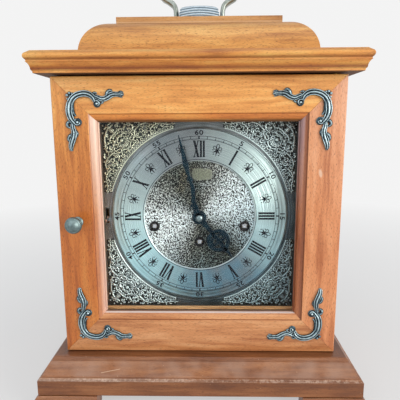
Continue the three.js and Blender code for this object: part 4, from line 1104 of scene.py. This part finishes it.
def onDial(x, z, angle):
    # a place turned clockwise about the dial's middle, in degrees
    a = math.radians(angle)
    return x * math.cos(a) + z * math.sin(a), -x * math.sin(a) + z * math.cos(a)


def slab(bm, outline):
    # a printed shape, given by its corners on the dial; it gets its thickness with all the others
    bm.faces.new([bm.verts.new((x, ring["front"] + ring["sunk"], z)) for x, z in outline])


def circleLine(bm, radius, width):
    low, high = radius - width / 2, radius + width / 2
    back, front = ring["front"] + ring["sunk"], ring["front"] - ring["ink"]
    combined(bm, turned([(low, back), (low, front), (high, front), (high, back), (low, back)], 0, 0, 180))


def bar(bm, low, high, wide):
    # a straight stroke between two points
    dx, dz = high[0] - low[0], high[1] - low[1]
    nx, nz = [wide / 2 * part / math.hypot(dx, dz) for part in (-dz, dx)]
    slab(bm, [(low[0] + nx, low[1] + nz), (low[0] - nx, low[1] - nz), (high[0] - nx, high[1] - nz),
              (high[0] + nx, high[1] + nz)])


def numeral(bm, text, angle):
    # a Roman hour, upright at the top of the ring and turned with it; strokes have ends cut level
    ends, serif = ring["hours"], 0.6
    cursor = -sum(letters[c][0] for c in text) / 2
    for c in text:
        width, strokes, serifs = letters[c]
        mid = cursor + width / 2
        for u0, end0, u1, end1, wide in strokes:
            a, b, half = (mid + u0, ends[end0]), (mid + u1, ends[end1]), wide / 2
            slab(bm, [onDial(u + side, r, angle) for (u, r), side in (
                (a, -half), (b, -half), (b, half), (a, half))])
        for level, inward, feet in zip(ends, (serif, -serif), serifs):
            for u, half in feet:
                slab(bm, [onDial(mid + u + side, r, angle) for side, r in (
                    (-half, level), (-half, level + inward), (half, level + inward), (half, level))])
        cursor += width


def floret(bm, angle, grow=1.16):
    # the half-hour mark: three open loops outward, three spikes inward, dots at the sides
    def spot(u, r):
        return onDial(u * grow, ring["halves"] + r * grow, angle)

    def blob(u, r, radius, count):
        slab(bm, [spot(u + radius * math.cos(t), r + radius * math.sin(t))
                  for t in [math.tau * i / count for i in range(count)]])

    def leaf(lean, start, end, wide, hollow):
        line = []
        for i in range(9):
            s = i / 8
            share = math.sin(math.pi * s) ** 0.7 * (0.55 + 0.6 * s) if hollow else 1 - s
            line.append((wide * share, start + (end - start) * s))
        one, other = [[spot(*onDial(side * w, r, lean)) for w, r in line] for side in (1, -1)]
        if hollow:
            for edge in (one, other):
                for low, high in zip(edge, edge[1:]):
                    bar(bm, low, high, 0.62)
        else:
            slab(bm, one + other[-2::-1])

    blob(0, 0, 1.15, 12)
    for lean, end in ((-52, 4.4), (0, 5.4), (52, 4.4)):
        leaf(lean, 1.2, end, 1.35, True)
    for lean, end in ((180, 5.4), (128, 4.4), (232, 4.4)):
        leaf(lean, 0.7, end, 0.8, False)
    for u, r in ((-3.4, -0.2), (3.4, -0.2), (-2.3, -3.5), (2.3, -3.5)):
        blob(u, r, 0.5, 8)


def makePrint():
    bm = bmesh.new()
    low, high = ring["track"]
    for minute in range(60):
        bar(bm, onDial(0, low, minute * 6), onDial(0, high, minute * 6), 0.5 if minute % 5 else 1.25)
    for hour, text in enumerate(hours):
        numeral(bm, text, hour * 30)
        floret(bm, hour * 30 + 15)
    grown = bmesh.ops.extrude_face_region(bm, geom=bm.faces[:])["geom"]
    bmesh.ops.translate(bm, vec=(0, -ring["ink"] - ring["sunk"], 0), verts=only(bmesh.types.BMVert, grown))
    for radius, width in ring["circles"]:
        circleLine(bm, radius, width)
    shift(bm, 0, 0, dialMid)
    keep(bm, "dial_print", "case", "ink", (), 30, True)


def makeMinutes():
    # the small minute figures round the edge
    bm = bmesh.new()
    for step in range(12):
        figure = bpy.data.curves.new("figure", "FONT")
        figure.body = str(60 if step == 0 else step * 5)
        figure.size = 6.4
        figure.space_character = 1.1
        figure.align_x, figure.align_y = "CENTER", "CENTER"
        figure.extrude = 0.035
        figure.offset = 0.15
        figure.resolution_u = 4
        part = settled(bpy.data.objects.new("figure", figure))
        turn(part, 90, "X")
        heights = [v.co.z for v in part.verts]
        shift(part, 0, 0, -(max(heights) + min(heights)) / 2)
        resize(part, 1.22, 1, 0.98)
        shift(part, 0, ring["front"] - ring["sunk"], ring["figures"])
        turn(part, step * 30)
        combined(bm, part)
    shift(bm, 0, 0, dialMid)
    bmesh.ops.remove_doubles(bm, verts=bm.verts, dist=1e-4)
    keep(bm, "minute_figures", "case", "ink", (), 30, True)


makeRing()
makePrint()
makeMinutes()
print("chapter ring printed")


def boxOf(node):
    # a node's lowest and highest corner, in millimetres
    return [[value / mm for value in corner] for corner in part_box(node)]


def makeGrommet(name, inner=2.95):
    low, high = boxOf(name)
    outer, back, front = (high[0] - low[0]) / 2, high[1], low[1]
    bm = turned([(inner, back), (inner, front + 0.7), (inner + 0.25, front + 0.25), (inner + 0.7, front + 0.02),
                 (outer - 0.8, front), (outer - 0.15, front + 0.35), (outer, front + 0.9), (outer, back),
                 (inner, back)], (low[0] + high[0]) / 2, (low[2] + high[2]) / 2, 40)
    keep(bm, name + "_turned", "case", "grommet", [name])


def makeHand(name, bands, boss, angle, back, thick=1.0):
    # a pierced and shaped steel hand, drawn pointing up and turned to its hour
    bm = sweptBands(bands, [(-1.0, 0), (-1.0, 0.45), (-0.7, 0.8), (0, 1.0), (0.7, 0.8), (1.0, 0.45), (1.0, 0)])
    for v in bm.verts:       # one thickness whatever the width
        v.co.y = 0.0 if v.co.y > -1e-6 else -thick * (0.55 + 0.45 * min(1.0, -v.co.y / 1.2))
    hub = turned([(0, 0), (boss, 0), (boss, -thick * 0.6), (boss - 0.5, -thick), (0, -thick)], 0, 0)
    combined(bm, hub)
    turn(bm, angle)
    shift(bm, 0, back, dialMid)
    keep(bm, name + "_forged", name, "blued", [name], 35)


def bothSides(band):
    return [band, [(-x, z, half) for x, z, half in band]]


hands = {
    "minute": [[(0, 3, 3), (-1.6, 12, 2.4), (-0.4, 22, 1.9), (1.2, 31, 1.8), (0, 38, 1.5), (0, 43, 1.2)],
               [(0, 41, 1.2), (0, 48, 2.2), (0, 54, 2.6), (0, 62, 1.9), (0, 72, 1.1), (0, 81, 0.3)],
               [(-5.6, 10.4, 0.4), (-4.6, 13.2, 1.0), (-2.2, 14.4, 1.2), (0.6, 12.2, 1.0), (1.2, 8.8, 0.5)],
               [(2.4, 36.4, 0.4), (1.9, 39.2, 0.9), (0, 40.6, 1.0), (-1.9, 39.2, 0.9), (-2.4, 36.4, 0.4)]],
    "hour": [[(0, 4, 3.2), (0, 12, 2.2), (0, 18, 1.8), (0, 23, 1.8)],
             *bothSides([(0, 20, 1.6), (6, 22, 1.9), (9.2, 28, 2.0), (8, 34.5, 1.8), (3.6, 38.6, 1.6),
                         (0, 42, 1.6)]),
             [(0, 21, 1.5), (0, 30, 2.3), (0, 40, 1.5)],
             *bothSides([(2.4, 24.6, 0.9), (5.6, 26, 1.3), (6.6, 29.4, 1.3), (4.2, 31.4, 1.1), (3, 29.2, 0.8)]),
             [(0, 38, 2.0), (0, 42, 2.3), (0, 46.5, 1.3), (0, 51, 0.3)]],
}


def makeNut():
    low, high = boxOf("hand_nut")
    r, back, front = (high[0] - low[0]) / 2, high[1], low[1]
    rim = back - 0.9
    dome = arc((0, rim), (r, front - rim), 0, 90, 8)[1:]
    bm = turned([(0, back), (r - 0.3, back), (r, back - 0.3), (r, rim)] + dome, 0, dialMid, 40)
    keep(bm, "hand_nut_domed", "minute_hand", "nut", ["hand_nut"])


for hole in ("chime", "time", "strike"):
    makeGrommet("grommet_" + hole)
makeHand("hour_hand", hands["hour"], 7.0, 141, -57.5)
makeHand("minute_hand", hands["minute"], 6.0, -13.5, -60.4)
makeNut()
dress("steel", "chime_winding_arbor", "time_winding_arbor", "strike_winding_arbor", "silent_lever")
dress("plate", "cannon_pinion", "minute_wheel", "hour_wheel", "front_plate", "back_plate",
      "chime_barrel", "time_barrel", "strike_barrel", "balance_wheel")
dress("iron", "chime_block", "hammers", "hammer_bracket")
dress("plain", "seat_board")
print("hands made")


def makeHandle():
    bm = opened(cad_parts["handle"].data)
    bmesh.ops.remove_doubles(bm, verts=bm.verts, dist=2e-6)
    bmesh.ops.recalc_face_normals(bm, faces=bm.faces)
    easeEdges(bm, 50, 1.1, 3)
    keep(bm, "handle_cast", "case", "handle", ["handle"], 50)
    bm = easedCopy("handle_saddle", 0.5, 2, 30)
    keep(bm, "handle_saddle_cast", "case", "saddle", ["handle_saddle"], 35)


makeHandle()
print("handle made")


def makeStage():
    bm = bmesh.new()
    bmesh.ops.create_circle(bm, cap_ends=True, segments=64, radius=9000)
    keep(bm, "studio_floor", "case", "floor")
    scene.world = bpy.data.worlds.new("studio")
    made = Finish(scene.world)
    soft = made.node("Background", None, {0: (0.9, 0.95, 1.0, 1), 1: 0.45})
    shown = made.node("Background", None, {0: (1, 1, 1, 1), 1: backdropGlow})
    made.done(made.node("MixShader", None, {0: made.seen(), 1: soft, 2: shown}), "World")


def makeLamp(name, place, aim, size, power, colour):
    lamp = bpy.data.lights.new(name, "AREA")
    lamp.shape = "RECTANGLE"
    lamp.size, lamp.size_y = size
    lamp.energy = power
    lamp.color = colour
    holder = bpy.data.objects.new(name, lamp)
    scene.collection.objects.link(holder)
    holder.location = place
    holder.rotation_euler = (Vector(aim) - Vector(place)).to_track_quat("-Z", "Y").to_euler()


camera = {"lens": 37.8, "sensor": 36.0, "place": (0.00926, -0.45403, 0.2655),
          "yaw": -1.230, "pitch": 10.146, "roll": -0.318}


def makeCamera(c=camera):
    data = bpy.data.cameras.new("camera")
    data.lens, data.sensor_width = c["lens"], c["sensor"]
    holder = bpy.data.objects.new("camera", data)
    scene.collection.objects.link(holder)
    yaw, pitch, roll = [math.radians(c[part]) for part in ("yaw", "pitch", "roll")]
    forward = Vector((math.sin(yaw) * math.cos(pitch), math.cos(yaw) * math.cos(pitch), -math.sin(pitch)))
    right = Vector((math.cos(yaw), -math.sin(yaw), 0))
    up = right.cross(forward)
    right, up = (math.cos(roll) * right + math.sin(roll) * up, -math.sin(roll) * right + math.cos(roll) * up)
    frameTurn = Matrix((right, up, -forward)).transposed()
    holder.matrix_world = Matrix.Translation(c["place"]) @ frameTurn.to_4x4()
    scene.camera = holder


makeStage()
makeLamp("key", (1.5, -1.2, 0.5), (0, 0, 0.2), (0.9, 1.2), 26, (1.0, 0.96, 0.91))
makeLamp("fill", (-1.2, -1.4, 1.1), (0, 0, 0.18), (1.2, 1.2), 9, (0.9, 0.95, 1.0))
makeLamp("top", (0.1, -0.5, 1.8), (0, 0, 0.2), (1.2, 1.2), 6, (1, 1, 1))
makeCamera()
print("stage set")
